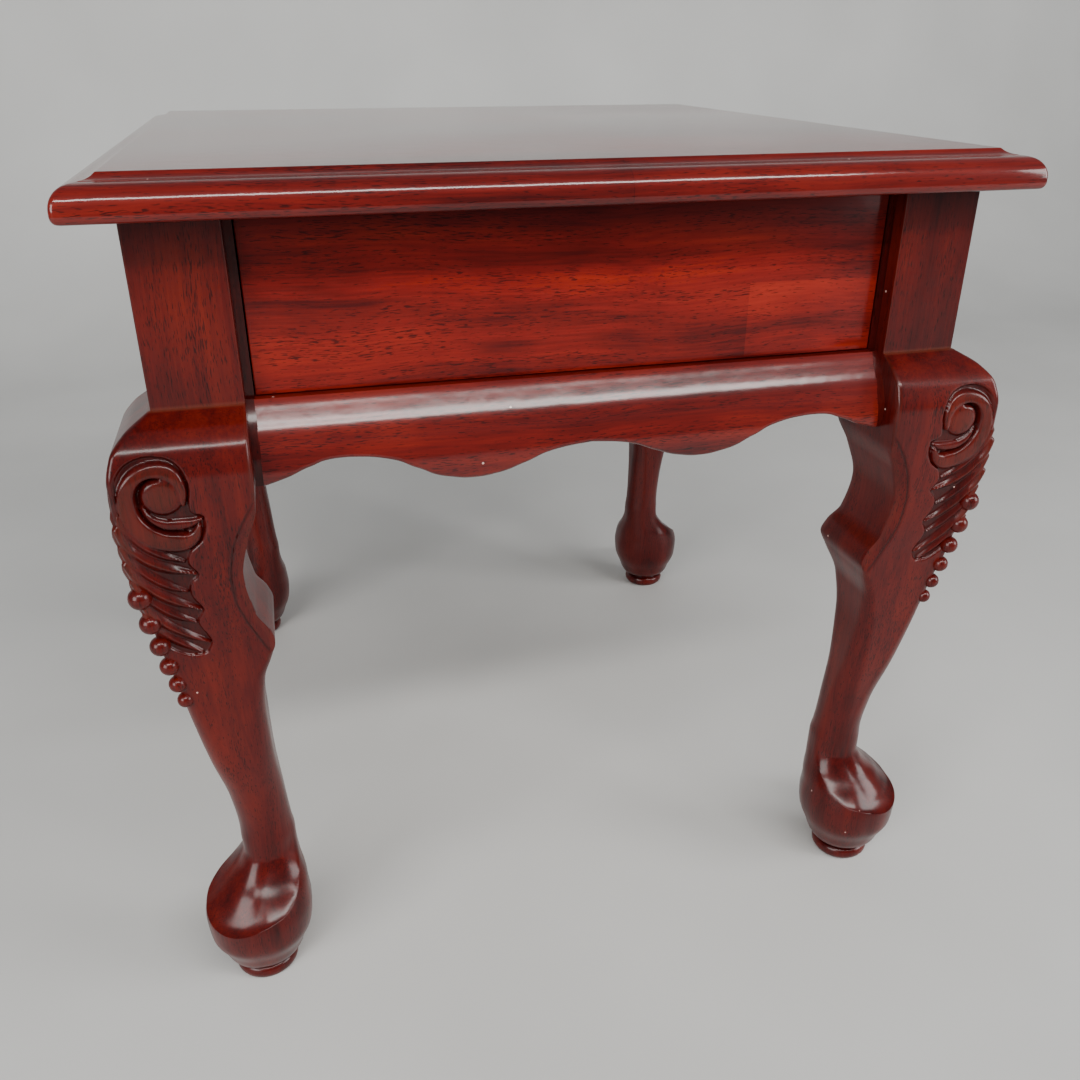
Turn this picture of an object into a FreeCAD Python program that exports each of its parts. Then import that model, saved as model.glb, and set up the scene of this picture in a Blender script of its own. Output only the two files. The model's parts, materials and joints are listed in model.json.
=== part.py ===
import FreeCAD, Part
import math
import os
import Sketcher

# Side table with one drawer. Millimetres, +Z up, the front faces -Y.
# The origin is on the floor under the middle of the table.

doc = FreeCAD.newDocument("SideTable")
sheet = doc.addObject("Spreadsheet::Sheet", "Sizes")

SIZES = {
    # overall
    "table_width": 549.0,
    "table_depth": 564.0,
    "table_height": 555.0,
    # top board and its moulded edge
    "top_thickness": 22.0,
    "edge_width": 21.0,
    "cove_width": 10.5,
    "cove_drop": 4.4,
    "cove_radius": 17.0,
    "nose_drop": 14.0,
    "nose_radius": 11.5,
    "under_width": 3.0,
    "under_radius": 7.0,
    "overhang": 26.0,
    # frame
    "post_size": 50.0,
    "knee_level": 432.0,
    "board_thickness": 18.0,
    "board_recess": 10.5,
    "strip_width": 5.0,
    # scalloped rails with a bulging face
    "ledge_width": 3.5,
    "rail_bulge": 20.0,
    "bulge_drop": 30.0,
    "rail_tuck": 1.0,
    "upper_radius": 90.0,
    "lower_radius": 42.0,
    "end_drop": 46.5,
    "crest_drop": 34.0,
    "lobe_drop": 54.4,
    "centre_drop": 38.0,
    "crest_from_end": 46.0,
    "lobe_to_lobe": 143.0,
    # mortise and tenon joints
    "tenon_thickness": 10.0,
    "tenon_length": 20.0,
    "tenon_margin": 6.0,
    "board_tenon_margin": 20.5,
    # corner blocks and their bolts
    "block_gap": 1.4,
    "block_thickness": 21.0,
    "block_height": 20.0,
    "block_drop": 10.0,
    "bolt_diameter": 6.0,
    "bolt_in_leg": 28.0,
    "head_diameter": 10.0,
    "head_height": 5.0,
    # drawer
    "front_gap": 0.8,
    "front_lift": 0.9,
    "front_top_gap": 1.2,
    "box_clearance": 3.5,
    "back_space": 47.5,
    "drawer_board": 12.0,
    "drawer_rise": 4.2,
    "bottom_thickness": 5.0,
    "bottom_rise": 10.0,
    "groove_depth": 5.0,
    "slot_width": 90.0,
    "slot_length": 26.0,
    "slot_setback": 3.5,
    # drawer runners, kickers and stops
    "runner_thickness": 12.0,
    "runner_shelf": 14.0,
    "guide_height": 20.0,
    "slide_gap": 0.5,
    "side_gap": 0.8,
    "kicker_thickness": 16.0,
    "kicker_gap": 1.5,
    "stop_length": 12.0,
    # screws
    "screw_diameter": 4.0,
    "screw_head": 8.0,
    "screw_sink": 3.0,
    "screw_bite": 11.0,
    # round pad under each foot
    "pad_radius": 20.7,
    "pad_height": 10.0,
    "pad_neck": 2.0,
}

# Sections of the cabriole leg, from the post's foot down to the round neck above the pad:
# share of the leg's height, reach beyond the post's outer faces, cut-in from its inner faces,
# radius of the corners on the leg's diagonal and radius of the two side corners.
LEG_SECTIONS = [
    ("post_foot", 1.000, 0.8, 0.0, 1.5, 1.5),
    ("shoulder", 0.981, 14.0, 0.0, 3.5, 2.0),
    ("brow", 0.958, 22.0, 0.0, 5.0, 3.0),
    ("knee", 0.922, 25.5, 0.0, 6.0, 3.0),
    ("knee_low", 0.870, 25.5, 1.5, 6.0, 3.0),
    ("cut_start", 0.828, 24.8, 8.0, 6.0, 3.0),
    ("cut_deep", 0.773, 22.5, 13.2, 6.0, 3.0),
    ("cut_end", 0.713, 19.0, 9.8, 6.0, 3.0),
    ("point_over", 0.679, 16.5, 3.2, 6.0, 3.0),
    ("point", 0.658, 15.2, 1.0, 6.0, 3.0),
    ("point_under", 0.637, 14.0, 3.6, 6.5, 4.0),
    ("shank_top", 0.590, 11.5, 10.2, 8.0, 7.0),
    ("shank", 0.521, 7.8, 12.8, 10.0, 10.0),
    ("calf", 0.440, 2.9, 12.4, 13.0, 13.0),
    ("shin", 0.347, -4.1, 9.8, 16.0, 16.0),
    ("ankle", 0.278, -6.5, 7.6, 17.2, 17.2),
    ("instep_top", 0.255, -6.0, 6.4, 17.3, 17.3),
    ("instep", 0.231, -4.8, 6.2, 17.5, 17.5),
    ("arch_top", 0.215, -0.7, 5.7, 19.0, 19.0),
    ("arch", 0.194, 7.4, 4.2, 24.0, 24.0),
    ("toe_top", 0.174, 16.7, 2.1, 30.0, 30.0),
    ("rim_top", 0.153, 22.7, 1.5, 33.0, 33.0),
    ("rim", 0.134, 24.2, 0.6, 34.0, 34.0),
    ("sole_top", 0.116, 24.0, 0.8, 34.0, 34.0),
    ("sole", 0.093, 22.8, 2.4, 32.0, 32.0),
    ("sole_low", 0.065, 18.1, 7.1, 29.0, 29.0),
    ("sole_under", 0.042, 14.1, 11.1, 25.0, 25.0),
    ("neck", 0.028, 8.3, 16.9, 19.5, 19.5),
]
SECTION_SIZES = ("share", "out", "cut_in", "diagonal_radius", "side_radius")
for section, *values in LEG_SECTIONS:
    for word, value in zip(SECTION_SIZES, values):
        SIZES[f"{section}_{word}"] = value

for row, (alias, value) in enumerate(SIZES.items(), start=1):
    sheet.set(f"A{row}", alias)
    sheet.set(f"B{row}", str(value))
    sheet.setAlias(f"B{row}", alias)
doc.recompute()


def s(formula):
    """Sheet formula: each size's bare name gets the sheet's name in front of it."""
    words = formula.replace("(", " ( ").replace(")", " ) ").split()
    return " ".join(f"Sizes.{word}" if word in SIZES else word for word in words)


# places that several pieces share, as formulas of the sheet's sizes
POST_X = s("( table_width / 2 - overhang )")
POST_Y = s("( table_depth / 2 - overhang )")
POST_IN_X = s("( table_width / 2 - overhang - post_size )")
POST_IN_Y = s("( table_depth / 2 - overhang - post_size )")
BOARD_X = s("( table_width / 2 - overhang - board_recess )")
BOARD_Y = s("( table_depth / 2 - overhang - board_recess )")
BOARD_IN_X = s("( table_width / 2 - overhang - board_recess - board_thickness )")
BOARD_IN_Y = s("( table_depth / 2 - overhang - board_recess - board_thickness )")
TOP_UNDER = s("( table_height - top_thickness )")
KNEE = "Sizes.knee_level"
STRIP_END_X = s("( table_width / 2 - overhang - post_size - strip_width )")
STRIP_END_Y = s("( table_depth / 2 - overhang - post_size - strip_width )")
TENON_SIDE = s("( ( board_thickness - tenon_thickness ) / 2 )")
RUNNER_TOP = s("( knee_level + drawer_rise - slide_gap )")
DRAWER_LOW = s("( knee_level + drawer_rise )")
DRAWER_TOP = s("( table_height - top_thickness - kicker_thickness - kicker_gap )")
DRAWER_FRONT = f"( - {BOARD_IN_Y} )"
DRAWER_REAR = s(f"( {BOARD_IN_Y} - back_space )")
BOTTOM_LOW = s("( knee_level + drawer_rise + bottom_rise )")


def number(formula):
    """Value of a sheet formula, in mm."""
    return float(sheet.evalExpression(formula.replace("Sizes.", "")))


# ---------------------------------------------------------------- sketches and bodies


def new_body(name):
    body = doc.addObject("PartDesign::Body", name)
    body.Label = name
    return body


def new_sketch(body, name, role, level=None):
    """Sketch on one of the body's origin planes, raised along the plane's normal by a formula."""
    sketch = body.newObject("Sketcher::SketchObject", f"{body.Name}_{name}")
    planes = [plane for plane in body.Origin.OriginFeatures if plane.Role == role]
    sketch.AttachmentSupport = [(planes[0], "")]
    sketch.MapMode = "FlatFace"
    if level:
        sketch.setExpression("AttachmentOffset.Base.z", level)
    return sketch


def arc_between(start, end, radius, turn):
    """Arc from start to end, counter-clockwise for turn +1, clockwise for -1, under half a circle."""
    chord = end - start
    half = chord.Length / 2
    rise = math.sqrt(max(radius * radius - half * half, 0.0))
    side = FreeCAD.Vector(-chord.y, chord.x, 0).normalize()
    centre = (start + end) / 2 + side * rise * turn
    first, last = (start, end) if turn > 0 else (end, start)
    begin = math.atan2(first.y - centre.y, first.x - centre.x)
    finish = math.atan2(last.y - centre.y, last.x - centre.x)
    circle = Part.Circle(centre, FreeCAD.Vector(0, 0, 1), radius)
    return Part.ArcOfCircle(circle, begin, finish)


def add_outline(sketch, corners):
    """Closed outline. A corner is (x, y) before a straight edge, or (x, y, radius, turn) before an arc."""
    spots = [FreeCAD.Vector(number(c[0]), number(c[1]), 0) for c in corners]
    ends = []
    for i, corner in enumerate(corners):
        start, end = spots[i], spots[(i + 1) % len(spots)]
        if len(corner) == 2:
            sketch.addGeometry(Part.LineSegment(start, end), False)
            ends.append((1, 2))
        else:
            turn = corner[3]
            sketch.addGeometry(arc_between(start, end, number(corner[2]), turn), False)
            ends.append((1, 2) if turn > 0 else (2, 1))
    base = sketch.GeometryCount - len(corners)
    for i, corner in enumerate(corners):
        after = (i + 1) % len(corners)
        joint = (base + i, ends[i][1], base + after, ends[after][0])
        sketch.addConstraint(Sketcher.Constraint("Coincident", *joint))
        ties = (("DistanceX", corner[0], spots[i].x), ("DistanceY", corner[1], spots[i].y))
        for kind, formula, value in ties:
            where = (-1, 1, base + i, ends[i][0], value)
            row = sketch.addConstraint(Sketcher.Constraint(kind, *where))
            sketch.setExpression(f"Constraints[{row}]", formula)
        if len(corner) > 2:
            radius = Sketcher.Constraint("Radius", base + i, number(corner[2]))
            row = sketch.addConstraint(radius)
            sketch.setExpression(f"Constraints[{row}]", corner[2])


def pad(body, sketch, length, reverse=False):
    feature = body.newObject("PartDesign::Pad", f"{sketch.Name}_pad")
    feature.Profile = sketch
    feature.setExpression("Length", length)
    feature.Reversed = reverse
    return feature


def pocket(body, sketch, length, reverse=False):
    feature = body.newObject("PartDesign::Pocket", f"{sketch.Name}_pocket")
    feature.Profile = sketch
    feature.setExpression("Length", length)
    feature.Reversed = reverse
    return feature


# ---------------------------------------------------------------- plain boards


def new_box(name, x_range, y_range, z_range):
    """Box between two formulas on each axis."""
    box = doc.addObject("Part::Box", name)
    box.Label = name
    for side, axis, (low, high) in zip(("Length", "Width", "Height"), "xyz", (x_range, y_range, z_range)):
        box.setExpression(side, f"{high} - {low}")
        box.setExpression(f"Placement.Base.{axis}", low)
    return box


def both(sign, near, far):
    """Range from near to far on the right (+1), or its mirror image on the left (-1)."""
    return (near, far) if sign > 0 else (f"( - {far} )", f"( - {near} )")


def new_cylinder(name, diameter, length, place, axis, angle):
    """Round bar that starts at place (three formulas), turned by angle about axis."""
    bar = doc.addObject("Part::Cylinder", name)
    bar.setExpression("Radius", f"{diameter} / 2")
    bar.setExpression("Height", length)
    for letter, formula in zip("xyz", place):
        bar.setExpression(f"Placement.Base.{letter}", formula)
    bar.Placement.Rotation = FreeCAD.Rotation(FreeCAD.Vector(*axis), angle)
    return bar


def fuse(name, shapes):
    whole = doc.addObject("Part::MultiFuse", name)
    whole.Label = name
    whole.Shapes = shapes
    return whole


def cut(name, base, tools):
    """Base with every tool taken away; the tools stay in the document."""
    tool = tools[0] if len(tools) == 1 else fuse(f"{name}_tools", tools)
    rest = doc.addObject("Part::Cut", name)
    rest.Label = name
    rest.Base = base
    rest.Tool = tool
    return rest


def mirror(name, source, normal):
    """Mirror image of source across the plane through the origin with this normal."""
    image = doc.addObject("Part::Mirroring", name)
    image.Label = name
    image.Source = source
    image.Normal = FreeCAD.Vector(*normal)
    return image


# ---------------------------------------------------------------- top board

HALF_W = s("( table_width / 2 )")
HALF_D = s("( table_depth / 2 )")


def edge_waste(half):
    """Outline of what the moulding cutter takes away beyond one edge, on the plus side."""
    flat = s(f"( {half} - edge_width )")
    cove = s(f"( {half} - edge_width + cove_width )")
    under = s(f"( {half} - under_width )")
    cove_low = s("( table_height - cove_drop )")
    nose_low = s("( table_height - nose_drop )")
    beyond = s(f"( {half} + edge_width )")
    return [
        (flat, "Sizes.table_height", "Sizes.cove_radius", 1),
        (cove, cove_low, "Sizes.nose_radius", -1),
        (half, nose_low, "Sizes.under_radius", -1),
        (under, TOP_UNDER),
        (beyond, TOP_UNDER),
        (beyond, "Sizes.table_height"),
    ]


def mirrored_outline(corners):
    """The same outline on the minus side: every arc turns the other way."""
    flipped = []
    for corner in corners:
        place = (f"( - {corner[0]} )", corner[1])
        flipped.append(place if len(corner) == 2 else (*place, corner[2], -corner[3]))
    return flipped


def make_top():
    body = new_body("top_board")
    plan = new_sketch(body, "plan", "XY_Plane", TOP_UNDER)
    left, front = f"( - {HALF_W} )", f"( - {HALF_D} )"
    add_outline(plan, [(left, front), (HALF_W, front), (HALF_W, HALF_D), (left, HALF_D)])
    pad(body, plan, "Sizes.top_thickness")
    for role, half, run in (("YZ_Plane", HALF_D, HALF_W), ("XZ_Plane", HALF_W, HALF_D)):
        waste = new_sketch(body, f"waste_{role[:2]}", role, f"( - {run} )")
        add_outline(waste, edge_waste(half))
        add_outline(waste, mirrored_outline(edge_waste(half)))
        pocket(body, waste, f"2 * {run}", reverse=True)
    return body


# ---------------------------------------------------------------- legs

def section_outline(section):
    """Rounded square of the front left leg between its inner and outer offsets."""
    out, inward = f"Sizes.{section}_out", f"Sizes.{section}_cut_in"
    left = f"( - {POST_X} - {out} )"
    right = f"( - {POST_IN_X} - {inward} )"
    front = f"( - {POST_Y} - {out} )"
    rear = f"( - {POST_IN_Y} - {inward} )"
    d, r = f"Sizes.{section}_diagonal_radius", f"Sizes.{section}_side_radius"
    return [
        (f"( {left} + {d} )", front),
        (f"( {right} - {r} )", front, r, 1),
        (right, f"( {front} + {r} )"),
        (right, f"( {rear} - {d} )", d, 1),
        (f"( {right} - {d} )", rear),
        (f"( {left} + {r} )", rear, r, 1),
        (left, f"( {rear} - {r} )"),
        (left, f"( {front} + {d} )", d, 1),
    ]


def make_leg_blank():
    """Front left leg before its mortises: post, cabriole shank, foot and round pad in one piece."""
    body = new_body("leg_blank")
    sections = []
    for name, *_ in LEG_SECTIONS:
        sketch = new_sketch(body, name, "XY_Plane", f"Sizes.knee_level * Sizes.{name}_share")
        add_outline(sketch, section_outline(name))
        sections.append(sketch)
    loft = body.newObject("PartDesign::AdditiveLoft", "leg_blank_loft")
    loft.Profile = sections[0]
    loft.Sections = sections[1:]
    loft.Ruled = False
    post = new_sketch(body, "post", "XY_Plane", KNEE)
    left, right = f"( - {POST_X} )", f"( - {POST_IN_X} )"
    front, rear = f"( - {POST_Y} )", f"( - {POST_IN_Y} )"
    add_outline(post, [(left, front), (right, front), (right, rear), (left, rear)])
    pad(body, post, f"{TOP_UNDER} - {KNEE}")
    trim = new_sketch(body, "trim", "XY_Plane")
    inside_x, inside_y = f"( {right} + Sizes.post_size )", f"( {rear} + Sizes.post_size )"
    outside_x, outside_y = f"( {left} - Sizes.post_size )", f"( {front} - Sizes.post_size )"
    add_outline(trim, [(right, outside_y), (inside_x, outside_y), (inside_x, inside_y),
                       (outside_x, inside_y), (outside_x, rear), (right, rear)])
    pocket(body, trim, TOP_UNDER, reverse=True)
    return body


def make_leg_pad():
    """Round pad under the front left foot with a narrow neck above it."""
    shift = s("( neck_out + neck_cut_in )")
    place = [s(f"( - ( {POST_X} + {POST_IN_X} + {shift} ) / 2 )"),
             s(f"( - ( {POST_Y} + {POST_IN_Y} + {shift} ) / 2 )"), "0"]
    disc = new_cylinder("pad_disc", s("( 2 * pad_radius )"), "Sizes.pad_height", place, (0, 0, 1), 0)
    raised = place[:2] + ["Sizes.pad_height - 1"]
    neck_size = s("( 2 * pad_radius - 2 * pad_neck )")
    neck_height = s("( knee_level * neck_share - pad_height + 2 )")
    neck = new_cylinder("pad_neck_bar", neck_size, neck_height, raised, (0, 0, 1), 0)
    return [disc, neck]

# ---------------------------------------------------------------- aprons: rails, strips and boards

# Each apron lies along local X with its board's outer face on local Y = 0 and outwards -Y.
# Turned about Z and pushed out, it becomes the front, right, back or left apron.
APRONS = {
    "front": (0, STRIP_END_X, POST_IN_X, BOARD_Y),
    "right": (90, STRIP_END_Y, POST_IN_Y, BOARD_X),
    "back": (180, STRIP_END_X, POST_IN_X, BOARD_Y),
    "left": (270, STRIP_END_Y, POST_IN_Y, BOARD_X),
}
ENDS = {
    "front": {-1: "left", 1: "right"},
    "right": {-1: "front", 1: "back"},
    "back": {-1: "right", 1: "left"},
    "left": {-1: "back", 1: "front"},
}


def place_apron(piece, side):
    """Turn a piece made at local X along an apron to its side of the table."""
    angle, _, _, reach = APRONS[side]
    piece.Placement.Rotation = FreeCAD.Rotation(FreeCAD.Vector(0, 0, 1), angle)
    axis, sign = {0: ("y", "-"), 90: ("x", ""), 180: ("y", ""), 270: ("x", "-")}[angle]
    piece.setExpression(f"Placement.Base.{axis}", f"{sign} {reach}" if sign else reach)


def face_outline(low, with_board):
    """Cross-section of the bulging rail, or of rail and board together for the end strips."""
    bulge_top = s("( knee_level - bulge_drop )")
    toe = s("( rail_bulge - rail_tuck )")
    outline = [
        ("Sizes.board_thickness", low),
        ("Sizes.board_thickness", TOP_UNDER if with_board else KNEE),
    ]
    if with_board:
        outline += [("0", TOP_UNDER), ("0", KNEE)]
    outline += [
        (s("( - ledge_width )"), KNEE, "Sizes.upper_radius", 1),
        (s("( - rail_bulge )"), bulge_top, "Sizes.lower_radius", 1),
        (f"( - {toe} )", low),
    ]
    return outline


def scallop_outline(half):
    """Waste below the scalloped lower edge: end drop, crest, lobe, centre arch and their mirror image."""
    end_z = s("( knee_level - end_drop )")
    crest_z = s("( knee_level - crest_drop )")
    lobe_z = s("( knee_level - lobe_drop )")
    centre_z = s("( knee_level - centre_drop )")
    floor_z = s("( knee_level - 2 * lobe_drop )")
    crest_x = s(f"( {half} - crest_from_end )")
    lobe_x = s("( lobe_to_lobe / 2 )")
    end_rise = s("( end_drop - crest_drop )")
    end_radius = s(f"( ( crest_from_end ^ 2 + {end_rise} ^ 2 ) / ( 2 * {end_rise} ) )")
    crest_run = f"( {crest_x} - {lobe_x} )"
    crest_rise = s("( lobe_drop - crest_drop )")
    crest_radius = f"( ( {crest_run} ^ 2 + {crest_rise} ^ 2 ) / ( 4 * {crest_rise} ) )"
    centre_rise = s("( lobe_drop - centre_drop )")
    centre_radius = f"( ( {lobe_x} ^ 2 + {centre_rise} ^ 2 ) / ( 4 * {centre_rise} ) )"
    outer_x, inner_x = f"( ( {crest_x} + {lobe_x} ) / 2 )", f"( {lobe_x} / 2 )"
    outer_z, inner_z = f"( ( {crest_z} + {lobe_z} ) / 2 )", f"( ( {centre_z} + {lobe_z} ) / 2 )"
    right = [
        (half, end_z, end_radius, 1),
        (crest_x, crest_z, crest_radius, 1),
        (outer_x, outer_z, crest_radius, -1),
        (lobe_x, lobe_z, centre_radius, -1),
        (inner_x, inner_z, centre_radius, 1),
    ]
    left = [
        ("0", centre_z, centre_radius, 1),
        (f"( - {inner_x} )", inner_z, centre_radius, -1),
        (f"( - {lobe_x} )", lobe_z, crest_radius, -1),
        (f"( - {outer_x} )", outer_z, crest_radius, 1),
        (f"( - {crest_x} )", crest_z, end_radius, 1),
        (f"( - {half} )", end_z),
    ]
    return right + left + [(f"( - {half} )", floor_z), (half, floor_z)]


def tenon_boxes(name, side, low, high):
    """The two tenon boxes at the ends of a rail or board, and their twins that cut the mortises."""
    _, end, post_in, _ = APRONS[side]
    boxes = {}
    for sign in (-1, 1):
        x_range = both(sign, end, f"( {post_in} + Sizes.tenon_length )")
        y_range = (TENON_SIDE, f"( {TENON_SIDE} + Sizes.tenon_thickness )")
        box = new_box(f"{name}_tenon_{ENDS[side][sign]}", x_range, y_range, (low, high))
        boxes[sign] = box
    return boxes


def placed_copy(name, side, source):
    """The same box as source, turned to its side of the table."""
    twin = doc.addObject("Part::Box", name)
    for size in ("Length", "Width", "Height"):
        twin.setExpression(size, f"{source.Name}.{size}")
    holder = doc.addObject("Part::Compound", f"{name}_placed")
    for axis in "xyz":
        twin.setExpression(f"Placement.Base.{axis}", f"{source.Name}.Placement.Base.{axis}")
    holder.Links = [twin]
    place_apron(holder, side)
    return holder


RAIL_TENON = (s("( knee_level - end_drop + tenon_margin )"), s("( knee_level - tenon_margin )"))
BOARD_TENON = (s("( knee_level + board_tenon_margin )"), s(f"( {TOP_UNDER} - board_tenon_margin )"))


def make_rail(side):
    """Scalloped rail of one side with a tenon at each end."""
    _, end, _, _ = APRONS[side]
    body = new_body(f"rail_{side}_bar")
    face = new_sketch(body, "face", "YZ_Plane", f"( - {end} )")
    add_outline(face, face_outline(s("( knee_level - lobe_drop )"), False))
    pad(body, face, f"2 * {end}")
    scallop = new_sketch(body, "scallop", "XZ_Plane", s("( - 2 * board_thickness )"))
    add_outline(scallop, scallop_outline(end))
    pocket(body, scallop, s("( 3 * board_thickness + 2 * rail_bulge )"), reverse=True)
    tenons = tenon_boxes(f"rail_{side}", side, *RAIL_TENON)
    rail = fuse(f"rail_{side}", [body, tenons[-1], tenons[1]])
    place_apron(rail, side)
    return rail, tenons


def make_board(side, screws):
    """Plain board above a rail with a tenon at each end, bored for any screws that reach into it."""
    _, end, _, _ = APRONS[side]
    plain = new_box(f"panel_{side}_board", both(1, f"( - {end} )", end), ("0", "Sizes.board_thickness"),
                    (KNEE, TOP_UNDER))
    tenons = tenon_boxes(f"panel_{side}", side, *BOARD_TENON)
    board = fuse(f"panel_{side}_solid" if screws else f"panel_{side}", [plain, tenons[-1], tenons[1]])
    place_apron(board, side)
    return (cut(f"panel_{side}", board, screws) if screws else board), tenons


def make_strips(side, tenons):
    """The two thin strips between an apron's ends and the posts, with slots for the tenons."""
    _, end, _, _ = APRONS[side]
    strips = []
    for sign in (-1, 1):
        name = f"strip_{side}_{ENDS[side][sign]}"
        body = new_body(f"{name}_bar")
        start = end if sign > 0 else s(f"( - {end} - strip_width )")
        face = new_sketch(body, "face", "YZ_Plane", start)
        add_outline(face, face_outline(s("( knee_level - end_drop )"), True))
        pad(body, face, "Sizes.strip_width")
        strip = cut(name, body, [pair[sign] for pair in tenons])
        place_apron(strip, side)
        strips.append(strip)
    return strips


# ---------------------------------------------------------------- corner blocks and leg bolts

BLOCK_LOW = s("( knee_level - block_drop - block_height )")
BOLT_LEVEL = s("( knee_level - block_drop - block_height / 2 )")
BLOCK_INSET = s("( post_size - board_recess - board_thickness )")
DIAGONAL = "0.70710678"


def make_block_blank():
    """Diagonal block in the front left corner, glued to both rails, just clear of the post."""
    body = new_body("block_blank")
    sketch = new_sketch(body, "plan", "XY_Plane", BLOCK_LOW)
    near = s(f"( {BLOCK_INSET} + 2 * block_gap )")
    far = s(f"( {near} + block_thickness / {DIAGONAL} )")
    wall_x, wall_y = f"( - {BOARD_IN_X} )", f"( - {BOARD_IN_Y} )"
    add_outline(sketch, [
        (f"( - {POST_IN_X} + {near} )", wall_y),
        (f"( - {POST_IN_X} + {far} )", wall_y),
        (wall_x, f"( - {POST_IN_Y} + {far} )"),
        (wall_x, f"( - {POST_IN_Y} + {near} )"),
    ])
    pad(body, sketch, "Sizes.block_height")
    return body


def make_leg_bolt():
    """Bolt through the front left block into the leg, along the corner's diagonal, head inside."""
    inner_face = s(f"( block_gap + block_thickness * {DIAGONAL} )")
    place = [f"( - {POST_IN_X} + {inner_face} )", f"( - {POST_IN_Y} + {inner_face} )", BOLT_LEVEL]
    length = s(f"( {inner_face} / {DIAGONAL} + bolt_in_leg )")
    shank = doc.addObject("Part::Cylinder", "bolt_shank")
    head = doc.addObject("Part::Prism", "bolt_head")
    head.Polygon = 6
    shank.setExpression("Radius", s("bolt_diameter / 2"))
    shank.setExpression("Height", length)
    head.setExpression("Circumradius", s("head_diameter / 2"))
    head.setExpression("Height", "Sizes.head_height")
    for piece, back in ((shank, "0"), (head, s(f"( head_height * {DIAGONAL} )"))):
        piece.setExpression("Placement.Base.x", f"{place[0]} + {back}")
        piece.setExpression("Placement.Base.y", f"{place[1]} + {back}")
        piece.setExpression("Placement.Base.z", place[2])
        outwards = FreeCAD.Vector(-1, -1, 0)
        piece.Placement.Rotation = FreeCAD.Rotation(FreeCAD.Vector(0, 0, 1), outwards)
    return fuse("bolt_front_left", [shank, head]), shank


CORNERS = {"front_left": None, "front_right": (1, 0, 0), "back_left": (0, 1, 0), "back_right": (1, 1, 0)}


def at_corner(name, source, corner):
    """Copy of a front left piece at another corner, mirrored about one or both middle planes."""
    if corner == "front_left":
        return source
    if corner == "front_right":
        return mirror(name, source, (1, 0, 0))
    if corner == "back_left":
        return mirror(name, source, (0, 1, 0))
    return mirror(name, mirror(f"{name}_half", source, (1, 0, 0)), (0, 1, 0))


def make_legs(blank, bolt_hole, mortises):
    """Four legs, each cut for the tenons that reach into it and for its bolt."""
    legs = []
    for corner in CORNERS:
        body = at_corner(f"leg_{corner}_blank", blank, corner)
        hole = at_corner(f"leg_{corner}_hole", bolt_hole, corner)
        legs.append(cut(f"leg_{corner}", body, mortises[corner] + [hole]))
    return legs


# ---------------------------------------------------------------- drawer

DRAWER_HALF = s(f"( {STRIP_END_X} - box_clearance )")
DRAWER_IN = s(f"( {DRAWER_HALF} - drawer_board )")
BACK_Y = s(f"( {DRAWER_REAR} - drawer_board )")
BOX_BACK_OF_FRONT = s(f"( {DRAWER_FRONT} + drawer_board )")


def bottom_board(name):
    """Thin bottom board, or the box that cuts its grooves."""
    grow = "Sizes.groove_depth"
    return new_box(name, both(1, f"( - {DRAWER_IN} - {grow} )", f"( {DRAWER_IN} + {grow} )"),
                   (f"( {BOX_BACK_OF_FRONT} - {grow} )", f"( {BACK_Y} + {grow} )"),
                   (BOTTOM_LOW, s(f"( {BOTTOM_LOW} + bottom_thickness )")))


def make_drawer(screws):
    """Plain front screwed to a four-sided box with a grooved-in bottom and a finger slot in it."""
    front_half = s(f"( {STRIP_END_X} - front_gap )")
    face = new_box("drawer_front_board", both(1, f"( - {front_half} )", front_half),
                   (f"( - {BOARD_Y} )", DRAWER_FRONT),
                   (s("( knee_level + front_lift )"), s(f"( {TOP_UNDER} - front_top_gap )")))
    groove = bottom_board("drawer_groove")
    level = (DRAWER_LOW, DRAWER_TOP)
    sides = {}
    for sign, word in ((-1, "left"), (1, "right")):
        side = new_box(f"drawer_side_{word}_board", both(sign, DRAWER_IN, DRAWER_HALF),
                       (DRAWER_FRONT, DRAWER_REAR), level)
        sides[word] = cut(f"drawer_side_{word}", side, [groove])
    across = both(1, f"( - {DRAWER_IN} )", DRAWER_IN)
    inner = new_box("drawer_inner_front_board", across, (DRAWER_FRONT, BOX_BACK_OF_FRONT), level)
    rear = new_box("drawer_back_board", across, (BACK_Y, DRAWER_REAR), level)
    plate = bottom_board("drawer_bottom_board")
    slot_front = s(f"( {BOX_BACK_OF_FRONT} + slot_setback )")
    slot = new_box("drawer_slot", both(1, s("( - slot_width / 2 )"), s("( slot_width / 2 )")),
                   (slot_front, s(f"( {slot_front} + slot_length )")), level)
    return [
        cut("drawer_front", face, screws),
        cut("drawer_inner_front", inner, [groove] + screws),
        sides["left"],
        sides["right"],
        cut("drawer_back", rear, [groove]),
        cut("drawer_bottom", plate, [slot]),
    ]


# ---------------------------------------------------------------- runners, kickers, stops

SHELF_IN = s(f"( {DRAWER_HALF} - runner_shelf )")
GUIDE_IN = s(f"( {DRAWER_HALF} + side_gap )")
RUNNER_ENDS = (f"( - {POST_IN_Y} )", f"( {POST_IN_Y} )")


def make_runner(word, sign, screws):
    """L-shaped runner: a shelf under the drawer side and a guide beside it."""
    shelf = new_box(f"runner_{word}_shelf", both(sign, SHELF_IN, BOARD_IN_X), RUNNER_ENDS,
                    (s(f"( {RUNNER_TOP} - runner_thickness )"), RUNNER_TOP))
    guide = new_box(f"runner_{word}_guide", both(sign, GUIDE_IN, BOARD_IN_X), RUNNER_ENDS,
                    (RUNNER_TOP, s(f"( {RUNNER_TOP} + guide_height )")))
    whole = fuse(f"runner_{word}_bar", [shelf, guide])
    return cut(f"runner_{word}", whole, screws)


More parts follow.
